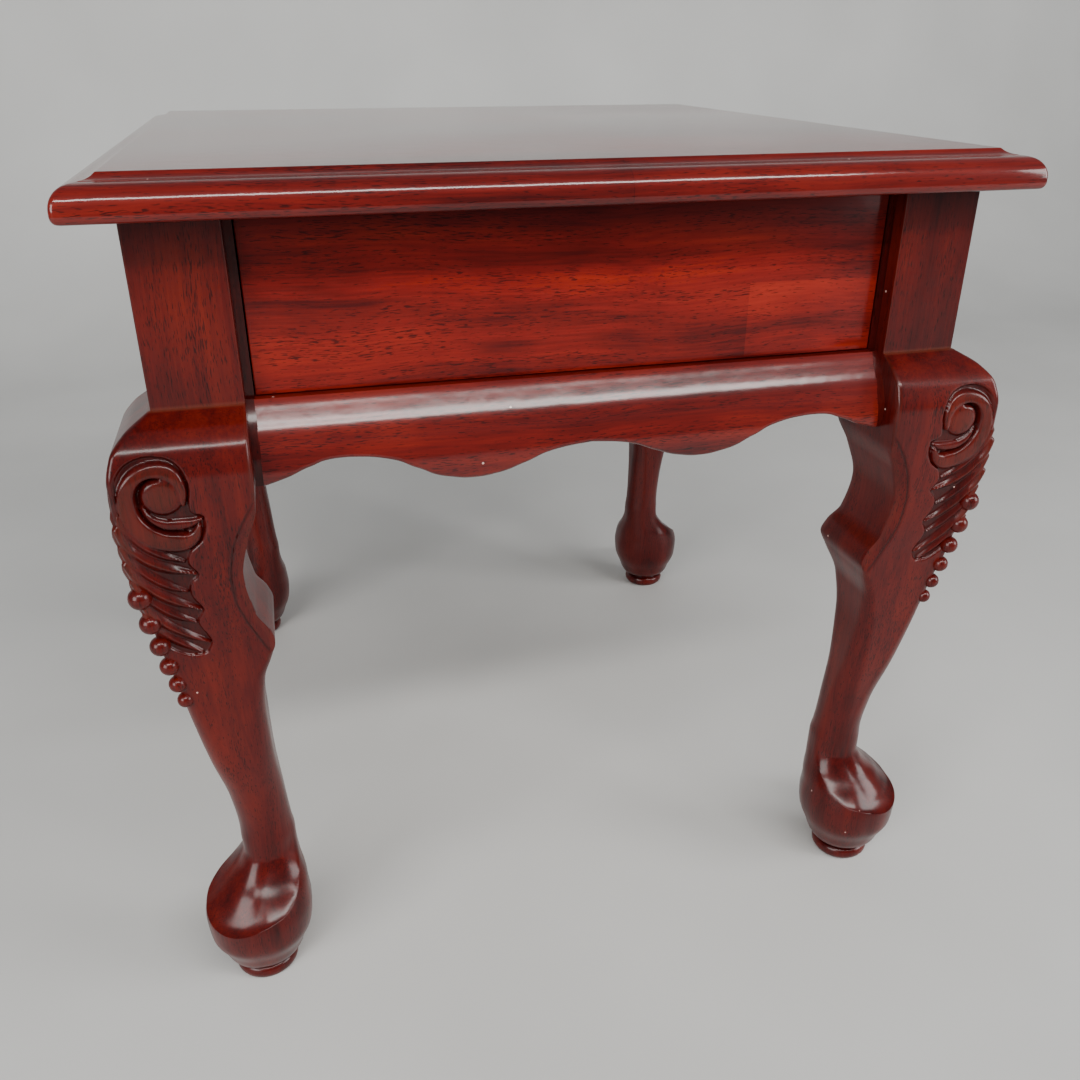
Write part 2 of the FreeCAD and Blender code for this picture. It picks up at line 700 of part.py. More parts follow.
def make_kicker(word, sign, screws):
    """Bar under the top that keeps the open drawer from tipping."""
    bar = new_box(f"kicker_{word}_bar", both(sign, SHELF_IN, BOARD_IN_X), RUNNER_ENDS,
                  (s(f"( {TOP_UNDER} - kicker_thickness )"), TOP_UNDER))
    return cut(f"kicker_{word}", bar, screws)


def make_stop(word, sign):
    """Block on the runner's shelf that the closed drawer's back meets."""
    start = s(f"( {DRAWER_REAR} + slide_gap )")
    return new_box(f"drawer_stop_{word}", both(sign, SHELF_IN, GUIDE_IN),
                   (start, s(f"( {start} + stop_length )")),
                   (RUNNER_TOP, s(f"( {RUNNER_TOP} + guide_height )")))


def new_screw(name, place, axis, angle, length):
    """Countersunk wood screw: a shank with a conical head at its start."""
    shank = new_cylinder(f"{name}_shank", "Sizes.screw_diameter", length, place, axis, angle)
    head = doc.addObject("Part::Cone", f"{name}_head")
    head.setExpression("Radius1", s("screw_head / 2"))
    head.setExpression("Radius2", s("screw_diameter / 2"))
    head.setExpression("Height", "Sizes.screw_sink")
    for letter, formula in zip("xyz", place):
        head.setExpression(f"Placement.Base.{letter}", formula)
    head.Placement.Rotation = FreeCAD.Rotation(FreeCAD.Vector(*axis), angle)
    return fuse(name, [shank, head])


def make_top_screws():
    """Three screws up through each kicker into the top."""
    rows = {"left": [], "right": []}
    for word, sign in (("left", "- "), ("right", "")):
        for i, share in enumerate(("-0.7", "0", "0.7")):
            place = [f"( {sign}( {SHELF_IN} + {BOARD_IN_X} ) / 2 )", f"( {share} * {POST_IN_Y} )",
                     s(f"( {TOP_UNDER} - kicker_thickness )")]
            length = s("( kicker_thickness + screw_bite )")
            rows[word].append(new_screw(f"top_screw_{word}_{i + 1}", place, (0, 0, 1), 0, length))
    return rows


def make_runner_screws():
    """Three screws through each runner's guide into the side board."""
    rows = {"left": [], "right": []}
    for word, sign, angle in (("left", "- ", -90), ("right", "", 90)):
        for i, share in enumerate(("-0.7", "0", "0.7")):
            place = [f"( {sign}{GUIDE_IN} )", f"( {share} * {POST_IN_Y} )",
                     s(f"( {RUNNER_TOP} + guide_height / 2 )")]
            length = s(f"( {BOARD_IN_X} - {GUIDE_IN} + screw_bite )")
            rows[word].append(new_screw(f"runner_screw_{word}_{i + 1}", place, (0, 1, 0), angle, length))
    return rows


def make_front_screws():
    """Four screws from inside the drawer box into its front."""
    screws = []
    shares = (("-0.6", "0.35"), ("0.6", "0.35"), ("-0.6", "0.75"), ("0.6", "0.75"))
    for i, (x_share, z_share) in enumerate(shares):
        place = [f"( {x_share} * {DRAWER_IN} )", BOX_BACK_OF_FRONT,
                 f"( {DRAWER_LOW} + {z_share} * ( {DRAWER_TOP} - {DRAWER_LOW} ) )"]
        length = s("( drawer_board + screw_bite )")
        screws.append(new_screw(f"front_screw_{i + 1}", place, (1, 0, 0), 90, length))
    return screws


def group(name, pieces):
    """One node that holds several equal fasteners."""
    whole = doc.addObject("Part::Compound", name)
    whole.Label = name
    whole.Links = pieces
    return whole


# ---------------------------------------------------------------- the whole table


def make_aprons(runner_screws):
    """Rails, boards and strips of the four sides, and the mortise boxes of each leg."""
    nodes = []
    mortises = {corner: [] for corner in CORNERS}
    corner_of = {
        ("front", -1): "front_left", ("front", 1): "front_right",
        ("right", -1): "front_right", ("right", 1): "back_right",
        ("back", -1): "back_right", ("back", 1): "back_left",
        ("left", -1): "back_left", ("left", 1): "front_left",
    }
    for side in APRONS:
        rail, tenons = make_rail(side)
        nodes.append(rail)
        pairs = [tenons]
        if side != "front":
            board, board_tenons = make_board(side, runner_screws.get(side, []))
            nodes.append(board)
            pairs.append(board_tenons)
        nodes += make_strips(side, pairs)
        for pair in pairs:
            for sign, box in pair.items():
                mortises[corner_of[side, sign]].append(placed_copy(f"{box.Name}_mortise", side, box))
    return nodes, mortises


def build():
    top_screws, runner_screws, front_screws = make_top_screws(), make_runner_screws(), make_front_screws()
    nodes, mortises = make_aprons(runner_screws)
    bolt, shank = make_leg_bolt()
    block_blank = make_block_blank()
    block = cut("corner_block_front_left", block_blank, [shank])
    blank = fuse("leg_whole", [make_leg_blank()] + make_leg_pad())
    nodes += make_legs(blank, shank, mortises)
    nodes += [at_corner(f"corner_block_{corner}", block, corner) for corner in CORNERS]
    nodes.append(group("leg_bolts", [at_corner(f"bolt_{corner}", bolt, corner) for corner in CORNERS]))
    nodes.append(cut("table_top", make_top(), top_screws["left"] + top_screws["right"]))
    nodes += make_drawer(front_screws)
    for word, sign in (("left", -1), ("right", 1)):
        nodes.append(make_runner(word, sign, runner_screws[word]))
        nodes.append(make_kicker(word, sign, top_screws[word]))
        nodes.append(make_stop(word, sign))
    nodes.append(group("top_screws", top_screws["left"] + top_screws["right"]))
    nodes.append(group("runner_screws", runner_screws["left"] + runner_screws["right"]))
    nodes.append(group("drawer_front_screws", front_screws))
    return nodes


def check(nodes):
    """Stop before writing anything if an object failed or a piece has no valid shape."""
    for item in doc.Objects:
        if "Invalid" in item.State or "Error" in item.State:
            raise RuntimeError(f"{item.Name} did not rebuild: {item.State}")
    for node in nodes:
        if node.Shape.isNull() or not node.Shape.isValid():
            raise RuntimeError(f"{node.Label} has no valid shape")


def export(nodes):
    os.makedirs("parts", exist_ok=True)
    for node in nodes:
        node.Shape.exportStep(f"parts/{node.Label}.step")
    print(f"{len(nodes)} pieces written")


pieces = build()
doc.recompute()
check(pieces)
export(pieces)
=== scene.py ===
# %% [markdown]
# # A small cabriole-leg side table in red mahogany lacquer
#
# The measured model of the table is loaded as a fixed frame. It says where each piece stands and
# which body it moves with. The steps below build the carved, moulded and lacquered pieces round it,
# one piece or one finish at a time. Lengths are thought of in millimetres and stored in metres.

# %% Load the frame
import bpy
import bmesh
import json
import math
import numpy as np
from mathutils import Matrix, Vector

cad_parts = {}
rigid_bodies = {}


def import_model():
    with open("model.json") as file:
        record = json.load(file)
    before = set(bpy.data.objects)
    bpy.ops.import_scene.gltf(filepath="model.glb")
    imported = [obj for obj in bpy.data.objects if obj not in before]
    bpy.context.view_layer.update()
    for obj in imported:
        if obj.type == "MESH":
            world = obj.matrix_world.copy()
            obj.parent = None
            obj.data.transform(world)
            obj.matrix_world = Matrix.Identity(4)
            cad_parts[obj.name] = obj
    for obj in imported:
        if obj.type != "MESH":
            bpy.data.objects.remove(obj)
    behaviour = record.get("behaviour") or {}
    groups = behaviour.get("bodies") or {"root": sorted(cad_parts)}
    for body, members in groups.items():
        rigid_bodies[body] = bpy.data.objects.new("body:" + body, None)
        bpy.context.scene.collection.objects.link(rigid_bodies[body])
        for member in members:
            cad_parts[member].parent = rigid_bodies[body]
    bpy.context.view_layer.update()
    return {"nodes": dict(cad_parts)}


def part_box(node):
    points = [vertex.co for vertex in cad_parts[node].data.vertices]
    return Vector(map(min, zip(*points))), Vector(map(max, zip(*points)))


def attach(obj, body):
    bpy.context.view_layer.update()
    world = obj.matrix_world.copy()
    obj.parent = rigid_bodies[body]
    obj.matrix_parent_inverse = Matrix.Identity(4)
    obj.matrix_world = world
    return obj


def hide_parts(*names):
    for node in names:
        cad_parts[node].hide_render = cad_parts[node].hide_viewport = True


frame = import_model()
MM = 0.001

# %% [markdown]
# ## Main sizes
#
# Nothing is placed by eye. Where the corner posts, boards and top stand is read from the frame's boxes,
# so that the carved pieces sit exactly where the plain ones are. Each post is 50 mm square and begins
# where a strip beside it ends. The depth is rounded to a micrometre, because the boxes are single floats.

# %% Read the main sizes from the frame
top_low, top_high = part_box("table_top")
front_low, front_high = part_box("drawer_front")
strip_low, strip_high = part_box("strip_front_left")
side_strip_low, side_strip_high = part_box("strip_left_front")
side_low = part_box("panel_left")[0]
UNDER_TOP = top_low.z
POST_MM = 50
POST = POST_MM * MM
POST_X = -strip_low.x + POST
POST_Y = round(-side_strip_low.y, 6) + POST
BOARD_X, BOARD_Y = -side_low.x, -front_low.y
RAIL_TOP = side_low.z
BOARD_DEPTH = front_high.y - front_low.y
print(f"post faces at x {POST_X:.4f} and y {POST_Y:.4f}, boards at {BOARD_X:.4f} and {BOARD_Y:.4f}")

# %% [markdown]
# ## Small helpers
#
# A smooth curve through a few measured points is needed for the leg, the rail and the edge of the
# top. A cubic that never overshoots its points keeps a carved outline fair: it rises where the
# points rise and stays flat where they are level.

# %% A fair curve through points
def fair_curve(where, at, value):
    """The value at each place of a smooth curve through (at, value), without overshoot."""
    at, value = np.asarray(at, float), np.asarray(value, float)
    if at[0] > at[-1]:
        at, value = at[::-1], value[::-1]
    step = np.diff(at)
    slope = np.diff(value) / step
    tangent = np.zeros_like(value)
    tangent[0], tangent[-1] = slope[0], slope[-1]
    same = slope[:-1] * slope[1:] > 0
    before, after = slope[:-1][same], slope[1:][same]
    tangent[1:-1][same] = 2 * before * after / (before + after)
    where = np.clip(where, at[0], at[-1])
    k = np.clip(np.searchsorted(at, where, side="right") - 1, 0, len(step) - 1)
    t = (where - at[k]) / step[k]
    rise = t * t * (3 - 2 * t)
    return (value[k] * (1 - rise) + value[k + 1] * rise
            + step[k] * t * (1 - t) * (tangent[k] * (1 - t) - tangent[k + 1] * t))


def soft_step(x, low, high):
    """0 below low, 1 above high, smooth between."""
    t = np.clip((x - low) / (high - low), 0, 1)
    return t * t * (3 - 2 * t)


print("halfway up a fair step:", float(fair_curve(0.5, [0, 1, 2], [0, 1, 1])))

# %% A mesh piece that rides on the frame
def shade_mesh(mesh, material, sharp):
    """Smooth shading with edges kept sharp above an angle in degrees, and one material."""
    mesh.polygons.foreach_set("use_smooth", [True] * len(mesh.polygons))
    mesh.set_sharp_from_angle(angle=math.radians(sharp))
    mesh.materials.append(material)


def place_piece(piece, body, stands_for):
    """Links a finished piece, sets it on its body of the frame and hides the frame's parts it stands for.
    """
    bpy.context.scene.collection.objects.link(piece)
    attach(piece, body)
    if stands_for:
        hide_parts(*stands_for)
    return piece


def make_piece(name, points, faces, material, stands_for, sharp):
    """A shaded mesh piece of the table with its place in its mesh."""
    mesh = bpy.data.meshes.new(name)
    mesh.from_pydata([tuple(p) for p in points], [], faces)
    shade_mesh(mesh, material, sharp)
    return place_piece(bpy.data.objects.new(name, mesh), "table", stands_for)

# %% [markdown]
# ## The lacquered wood
#
# The table is stained red mahogany under a thick gloss lacquer. One recipe serves every show face,
# with the grain turned along each piece. From the wood up: long soft streaks of grain, boards made of
# glued staves of slightly different tone, short dark pores along the grain, painted shade in the hollows
# and in a band close under the top, a paler line where an arris has been rubbed, rare specks of dust,
# and a clear coat over all of it. Everything is worked out from object coordinates, so that a pattern
# runs through a piece as grain does. The coat is the look of this table: too strong, and it turns the
# red grey by mirroring the pale room, so each piece is given its own share of it.

# %% Shader helpers
def start_material(name):
    """A new material with an empty node tree."""
    material = bpy.data.materials.new(name)
    material.use_nodes = True
    material.node_tree.nodes.clear()
    return material, material.node_tree


def node(tree, kind, **inputs):
    """One shader node with its inputs set or linked."""
    made = tree.nodes.new(kind)
    for key, value in inputs.items():
        socket = made.inputs[key]
        if isinstance(value, bpy.types.NodeSocket):
            tree.links.new(value, socket)
        else:
            socket.default_value = value
    return made


def ramp(tree, value, stops):
    """A colour ramp from (place, grey or colour) stops."""
    made = tree.nodes.new("ShaderNodeValToRGB")
    tree.links.new(value, made.inputs[0])
    bar = made.color_ramp.elements
    while len(bar) < len(stops):
        bar.new(0.5)
    for stop, (where, shade) in zip(bar, stops):
        stop.position = where
        stop.color = (*shade, 1) if isinstance(shade, tuple) else (shade, shade, shade, 1)
    return made.outputs[0]


def blend_colour(tree, share, first, second, way="MIX"):
    """Two colours mixed, or one laid over the other."""
    made = tree.nodes.new("ShaderNodeMix")
    made.data_type, made.blend_type = "RGBA", way
    for index, value in ((0, share), (6, first), (7, second)):
        if isinstance(value, bpy.types.NodeSocket):
            tree.links.new(value, made.inputs[index])
        else:
            made.inputs[index].default_value = (*value, 1) if isinstance(value, tuple) else value
    return made.outputs[2]


def sums(tree, how, first, second):
    """One Math node."""
    made = tree.nodes.new("ShaderNodeMath")
    made.operation = how
    for index, value in enumerate((first, second)):
        if isinstance(value, bpy.types.NodeSocket):
            tree.links.new(value, made.inputs[index])
        else:
            made.inputs[index].default_value = value
    return made.outputs[0]

# %% The red lacquer recipe
DEEP_RED = (0.066, 0.0030, 0.0028)
MID_RED = (0.205, 0.0088, 0.0058)
WARM_RED = (0.365, 0.0215, 0.0082)
# The darkest red: the real colour of the pores, and also the colour of the painted shade in the hollows
# and under the top.
PORE_AND_SHADE_DARK = (0.017, 0.0018, 0.0017)
RUBBED = (0.45, 0.12, 0.055)
STAVE_LENGTH, GLUE_LINE = 310 * MM, 0.3 * MM
# How far below the top the painted shade under its overhang reaches.
TOP_SHADE_DEPTH = 34 * MM
DUST = (0.75, 0.52, 0.46)
TURN = {"x": (0, 0, 0), "y": (0, 0, math.pi / 2), "z": (0, math.pi / 2, 0)}


def lacquered_wood(name, grain, seed, stave=0.0, shade=1.0, shade_under_top=0.0, gloss=0.17, warm=0.5,
                   film=0.5):
    """Red mahogany lacquer with its grain along x, y or z.

    stave is the width of the glued staves (their lines lie on a level board if it is negative), glaze the
    strength of the painted shade close under the top's overhang, warm the share of the lightest red, film
    and gloss the clear coat's strength and roughness.
    """
    material, tree = start_material(name)
    here = node(tree, "ShaderNodeTexCoord").outputs["Object"]
    turned = node(tree, "ShaderNodeMapping", Vector=here, Rotation=TURN[grain],
                  Location=(seed * 1.7, seed * 0.9, seed * 1.3)).outputs[0]
    wander = node(tree, "ShaderNodeTexNoise", Vector=turned, Scale=5.0, Detail=2.0).outputs["Color"]
    drift = tree.nodes.new("ShaderNodeVectorMath")
    drift.operation = "MULTIPLY_ADD"
    tree.links.new(wander, drift.inputs[0])
    drift.inputs[1].default_value = (0.0, 0.018, 0.018)
    tree.links.new(turned, drift.inputs[2])
    path = drift.outputs[0]
    long_way = node(tree, "ShaderNodeMapping", Vector=path, Scale=(3.5, 62, 62)).outputs[0]
    streak = node(tree, "ShaderNodeTexNoise", Vector=long_way, Scale=1.0, Detail=5.0,
                  Roughness=0.62).outputs["Fac"]
    fine_way = node(tree, "ShaderNodeMapping", Vector=path, Scale=(22, 620, 620)).outputs[0]
    fine = node(tree, "ShaderNodeTexNoise", Vector=fine_way, Scale=1.0, Detail=2.0).outputs["Fac"]
    cloud = node(tree, "ShaderNodeTexNoise", Vector=turned, Scale=9.0, Detail=3.0,
                 Roughness=0.55).outputs["Fac"]
    tone = sums(tree, "ADD", sums(tree, "MULTIPLY", streak, 0.55), sums(tree, "MULTIPLY", cloud, 0.45))
    tone = sums(tree, "ADD", tone, sums(tree, "MULTIPLY", sums(tree, "SUBTRACT", fine, 0.5), 0.22))
    if stave:
        flat = node(tree, "ShaderNodeSeparateXYZ", Vector=turned)
        level = flat.outputs["Z"] if grain != "x" or stave > 0 else flat.outputs["Y"]
        board = node(tree, "ShaderNodeCombineXYZ", X=flat.outputs["X"], Y=level).outputs[0]
        brick = node(tree, "ShaderNodeTexBrick", **{
            "Vector": board, "Color1": (0.36, 0.36, 0.36, 1), "Color2": (0.64, 0.64, 0.64, 1),
            "Mortar": (0.42, 0.42, 0.42, 1), "Scale": 1.0, "Mortar Size": GLUE_LINE,
            "Mortar Smooth": 0.3, "Brick Width": STAVE_LENGTH, "Row Height": abs(stave)})
        brick.offset, brick.offset_frequency = 0.37, 2
        tone = sums(tree, "ADD", tone, sums(tree, "MULTIPLY",
                    sums(tree, "SUBTRACT", brick.outputs["Color"], 0.5), 0.42))
    shift = 0.16 * (warm - 0.5)
    colour = ramp(tree, tone, [(0.34 - shift, DEEP_RED), (0.50 - shift, MID_RED),
                               (0.70 - shift, WARM_RED)])
    pore_way = node(tree, "ShaderNodeMapping", Vector=path, Scale=(170, 1700, 1700)).outputs[0]
    pore = node(tree, "ShaderNodeTexNoise", Vector=pore_way, Scale=1.0, Detail=1.0).outputs["Fac"]
    dense = node(tree, "ShaderNodeTexNoise", Vector=long_way, Scale=1.6, Detail=1.0).outputs["Fac"]
    pore = sums(tree, "ADD", pore, sums(tree, "MULTIPLY", sums(tree, "SUBTRACT", dense, 0.5), 0.35))
    pores = ramp(tree, pore, [(0.615, 0.0), (0.685, 0.74)])
    colour = blend_colour(tree, pores, colour, PORE_AND_SHADE_DARK)
    # The finish attribute: below zero it asks for painted shade in hollows and cuts, above zero for the
    # paler colour of rubbed wear.
    wear_and_shade = node(tree, "ShaderNodeAttribute")
    wear_and_shade.attribute_name = "finish"
    height = wear_and_shade.outputs["Fac"]
    hollow_shade = ramp(tree, sums(tree, "MULTIPLY", height, -1.0), [(0.0, 0.0), (0.9, 0.86)])
    proud = ramp(tree, height, [(0.02, 0.0), (1.0, 0.75)])
    colour = blend_colour(tree, hollow_shade, colour, PORE_AND_SHADE_DARK)
    colour = blend_colour(tree, proud, colour, RUBBED)
    # Painted shade: the colour darkens in a band close under the top, where the top's overhang shades the
    # boards and posts.
    if shade_under_top:
        up = node(tree, "ShaderNodeSeparateXYZ", Vector=here).outputs["Z"]
        uneven = sums(tree, "ADD", up, sums(tree, "MULTIPLY", cloud, 0.022))
        depth = sums(tree, "SUBTRACT", uneven, UNDER_TOP - TOP_SHADE_DEPTH)
        painted_top_shade = ramp(tree, sums(tree, "MULTIPLY", depth, 22.0), [(0.0, 0.0), (1.0, shade_under_top)])
        colour = blend_colour(tree, painted_top_shade, colour, PORE_AND_SHADE_DARK)
    if shade != 1.0:
        colour = blend_colour(tree, 1.0, colour, (shade, shade, shade), "MULTIPLY")
    speck = node(tree, "ShaderNodeTexVoronoi", Vector=here, Scale=105.0)
    rare = sums(tree, "GREATER_THAN", speck.outputs["Color"], 0.86)
    dot = sums(tree, "LESS_THAN", speck.outputs["Distance"], 0.075)
    dust = sums(tree, "MULTIPLY", sums(tree, "MULTIPLY", rare, dot), 0.6)
    colour = blend_colour(tree, dust, colour, DUST)
    ripple = node(tree, "ShaderNodeTexNoise", Vector=here, Scale=85.0, Detail=2.0).outputs["Fac"]
    skin = node(tree, "ShaderNodeBump", Height=ripple, Strength=0.10, Distance=0.0012)
    under = node(tree, "ShaderNodeBump", Height=sums(tree, "SUBTRACT", fine, pores), Strength=0.10,
                 Distance=0.0004)
    gloss_map = ramp(tree, cloud, [(0.3, 0.30), (0.75, 0.44)])
    shader = node(tree, "ShaderNodeBsdfPrincipled", **{
        "Base Color": colour, "Roughness": gloss_map, "Normal": under.outputs[0],
        "Coat Normal": skin.outputs[0], "Coat Weight": film, "Coat Roughness": gloss, "Coat IOR": 1.42,
        "Specular IOR Level": 0.05})
    node(tree, "ShaderNodeOutputMaterial", Surface=shader.outputs[0])
    return material

# %% [markdown]
# ## The woods inside
#
# The runners, blocks and drawer box are pale sanded hardwood, the drawer bottom is plywood, and the
# screws and bolts are zinc plated steel. These pieces keep their plain measured shape, so they only
# need a finish.

# %% Bare wood, plywood and steel
PLIES_PER_METRE = 600.0
BEECH_LIGHT, BEECH_DARK = (0.50, 0.33, 0.19), (0.34, 0.20, 0.11)
PLY_LIGHT, PLY_DARK = (0.56, 0.40, 0.24), (0.40, 0.26, 0.14)


def bare_wood(name, grain, seed, light, dark, ply=False):
    """Sanded hardwood with a thin coat, or plywood with its layers seen on the edge."""
    material, tree = start_material(name)
    here = node(tree, "ShaderNodeTexCoord").outputs["Object"]
    turned = node(tree, "ShaderNodeMapping", Vector=here, Rotation=TURN[grain],
                  Location=(seed, seed * 0.6, seed * 1.4)).outputs[0]
    long_way = node(tree, "ShaderNodeMapping", Vector=turned, Scale=(4, 70, 70)).outputs[0]
    streak = node(tree, "ShaderNodeTexNoise", Vector=long_way, Scale=1.0, Detail=5.0).outputs["Fac"]
    colour = ramp(tree, streak, [(0.32, dark), (0.68, light)])
    if ply:
        up = node(tree, "ShaderNodeSeparateXYZ", Vector=here).outputs["Z"]
        layer = sums(tree, "FRACT", sums(tree, "MULTIPLY", up, PLIES_PER_METRE), 0.0)
        dark_ply = sums(tree, "MULTIPLY", sums(tree, "GREATER_THAN", layer, 0.5), 0.3)
        colour = blend_colour(tree, dark_ply, colour, dark)
    rough = ramp(tree, streak, [(0.3, 0.42), (0.7, 0.58)])
    bump = node(tree, "ShaderNodeBump", Height=streak, Strength=0.15, Distance=0.0005)
    shader = node(tree, "ShaderNodeBsdfPrincipled", **{
        "Base Color": colour, "Roughness": rough, "Normal": bump.outputs[0]})
    node(tree, "ShaderNodeOutputMaterial", Surface=shader.outputs[0])
    return material


def plated_steel(name):
    """Zinc plated steel, faintly mottled."""
    material, tree = start_material(name)
    here = node(tree, "ShaderNodeTexCoord").outputs["Object"]
    mottle = node(tree, "ShaderNodeTexNoise", Vector=here, Scale=420.0, Detail=3.0).outputs["Fac"]
    colour = ramp(tree, mottle, [(0.3, (0.42, 0.40, 0.34)), (0.7, (0.66, 0.63, 0.55))])
    rough = ramp(tree, mottle, [(0.3, 0.25), (0.7, 0.4)])
    shader = node(tree, "ShaderNodeBsdfPrincipled", **{
        "Base Color": colour, "Roughness": rough, "Metallic": 1.0})
    node(tree, "ShaderNodeOutputMaterial", Surface=shader.outputs[0])
    return material


steel = plated_steel("zinc_steel")
plywood = bare_wood("drawer_plywood", "x", 3.1, PLY_LIGHT, PLY_DARK, ply=True)
inner_woods = {axis: bare_wood(f"inner_wood_{axis}", axis, 1.0 + k, BEECH_LIGHT, BEECH_DARK)
               for k, axis in enumerate("xyz")}
print("made", len(bpy.data.materials), "plain finishes")

# %% [markdown]
# ## The cabriole legs
#
# Each leg and its post are one piece of wood, sawn to an S-curve on two faces and then carved. A leg
# could be sculpted freely, but its shape follows a rule: at every height it is a rounded square, and
# only four sizes change on the way down. So a short table of sections is read with a fair curve, and
# the surface is a grid of rows (heights) and columns (directions round the section).

# %% The leg's sections
# Each row: share of knee height, reach beyond the post, cut in on the inner sides, radius on the
# diagonal corners, radius on the side corners. All but the first in millimetres.
KNEE_LEVEL = RAIL_TOP / MM
LEG_SECTIONS = [
    (1.000, 0.8, 0.0, 1.5, 1.5), (0.981, 14.0, 0.0, 3.5, 2.0), (0.958, 22.0, 0.0, 5.0, 3.0),
    (0.922, 25.5, 0.0, 6.0, 3.0), (0.870, 25.5, 1.5, 6.0, 3.0), (0.828, 24.8, 8.0, 6.0, 3.0),
    (0.773, 22.5, 13.2, 6.0, 3.0), (0.713, 19.0, 9.8, 6.0, 3.0), (0.679, 16.5, 3.2, 6.0, 3.0),
    (0.658, 15.2, 1.0, 6.0, 3.0), (0.637, 14.0, 3.6, 6.5, 4.0), (0.590, 11.5, 10.2, 8.0, 7.0),
    (0.521, 7.8, 12.8, 10.0, 10.0), (0.440, 2.9, 12.4, 13.0, 13.0), (0.347, -4.1, 9.8, 16.0, 16.0),
    (0.278, -6.5, 7.6, 17.2, 17.2), (0.255, -6.0, 6.4, 17.3, 17.3), (0.231, -4.8, 6.2, 17.5, 17.5),
    (0.215, -0.7, 5.7, 19.0, 19.0), (0.194, 7.4, 4.2, 24.0, 24.0), (0.174, 16.7, 2.1, 30.0, 30.0),
    (0.153, 22.7, 1.5, 33.0, 33.0), (0.134, 24.2, 0.6, 34.0, 34.0), (0.116, 24.0, 0.8, 34.0, 34.0),
    (0.093, 22.8, 2.4, 32.0, 32.0), (0.065, 18.1, 7.1, 29.0, 29.0), (0.042, 14.1, 11.1, 25.0, 25.0),
    (0.028, 8.3, 16.9, 19.5, 19.5)]
share, reach, cut_in, diagonal_round, side_round = np.array(LEG_SECTIONS).T
heights = share * KNEE_LEVEL
print(f"{len(heights)} sections, thinnest at the ankle:",
      round(float((POST_MM + reach - cut_in).min()), 1), "mm")

# %% [markdown]
# ### The carving
#
# The outer faces of the knee carry a C-scroll, an acanthus leaf of seven ribs and a sunk ground round
# them. Carving is height, so it is written as one: a function of the distance from the outer arris and
# the level gives how far the surface stands proud of the plain leg or is sunk below it. Each rib or
# scroll is a strand, which is a path with a half width that tapers.

# %% Strands of carving
def fair_path(points, steps=60):
    """A finely stepped smooth path through rows of numbers."""
    rows = np.array(points, float)
    along = np.r_[0, np.cumsum(np.hypot(*np.diff(rows[:, :2], axis=0).T))]
    places = np.linspace(0, along[-1], steps)
    made = []
    for column in rows.T:
        slope = np.gradient(column, along)
        k = np.clip(np.searchsorted(along, places, side="right") - 1, 0, len(along) - 2)
        h = along[k + 1] - along[k]
        t = (places - along[k]) / h
        rise = t * t * (3 - 2 * t)
        made.append(column[k] * (1 - rise) + column[k + 1] * rise
                    + h * t * (1 - t) * (slope[k] * (1 - t) - slope[k + 1] * t))
    return np.array(made).T


def nearest_on_path(across, level, path):
    """Distance from each point to the path, and the path's own half width there."""
    best = np.full(across.shape, 1e9)
    width = np.zeros(across.shape)
    for (ax, ay, aw), (bx, by, bw) in zip(path[:-1, :3], path[1:, :3]):
        dx, dy = bx - ax, by - ay
        t = np.clip(((across - ax) * dx + (level - ay) * dy) / (dx * dx + dy * dy + 1e-12), 0, 1)
        far = np.hypot(across - ax - t * dx, level - ay - t * dy)
        nearer = far < best
        best = np.where(nearer, far, best)
        width = np.where(nearer, aw + t * (bw - aw), width)
    return best, width


SCROLL = fair_path([(37.2, 386, 1.2), (37.6, 393, 2.4), (35.5, 400, 3.4), (30.5, 404.6, 4.2),
                    (23, 406.2, 4.5), (14.8, 403.4, 4.8), (10, 396.5, 4.9), (8.4, 388, 5.0),
                    (9.6, 379, 5.6), (14.5, 370.5, 6.6), (24, 364.6, 6.6), (34, 363, 5.4),
                    (40.5, 366.5, 3.2), (43.5, 372.5, 1.2)])
SCROLL_LIP = fair_path([(15.5, 385, 1.6), (18.5, 379, 2.4), (25, 374.8, 3.0), (33, 373.8, 3.2),
                        (40, 374.4, 2.4), (45, 376.2, 0.9)])
SCROLL_GROOVE = fair_path([(26, 401.2, 0.4), (19.5, 400.4, 1.0), (15.0, 395, 1.3), (14.4, 387, 1.3),
                           (17.5, 377.5, 1.1), (25, 370.8, 1.0), (36, 368.8, 0.5)])
LEAF_RIBS = [fair_path(rib) for rib in (
    [(1.5, 385, 3.0), (4.5, 376, 3.8), (10, 365.5, 4.0), (19, 357, 3.8), (31, 351, 1.2)],
    [(1, 375, 3.4), (4, 365, 4.2), (10.5, 355, 4.5), (21, 347.5, 4.2), (35.5, 342, 0.9)],
    [(1, 364, 3.0), (4, 354, 3.8), (9.5, 344, 4.0), (18, 336, 3.7), (27.5, 330.5, 1.0)],
    [(1, 353, 3.2), (4, 343, 4.2), (9.5, 333.5, 4.5), (18.5, 325, 4.2), (31.5, 317.5, 0.9)],
    [(1, 341, 3.0), (4, 331, 3.8), (9.5, 322, 4.0), (17, 314.5, 3.7), (26, 308.5, 1.0)],
    [(1, 329, 3.0), (4, 319, 4.0), (9, 309.5, 4.3), (16.5, 301.5, 4.0), (28.5, 292.5, 0.9)],
    [(1, 318, 2.8), (4, 308, 3.6), (8.5, 299.5, 3.8), (14.5, 293, 3.4), (22.5, 286, 0.9)])]
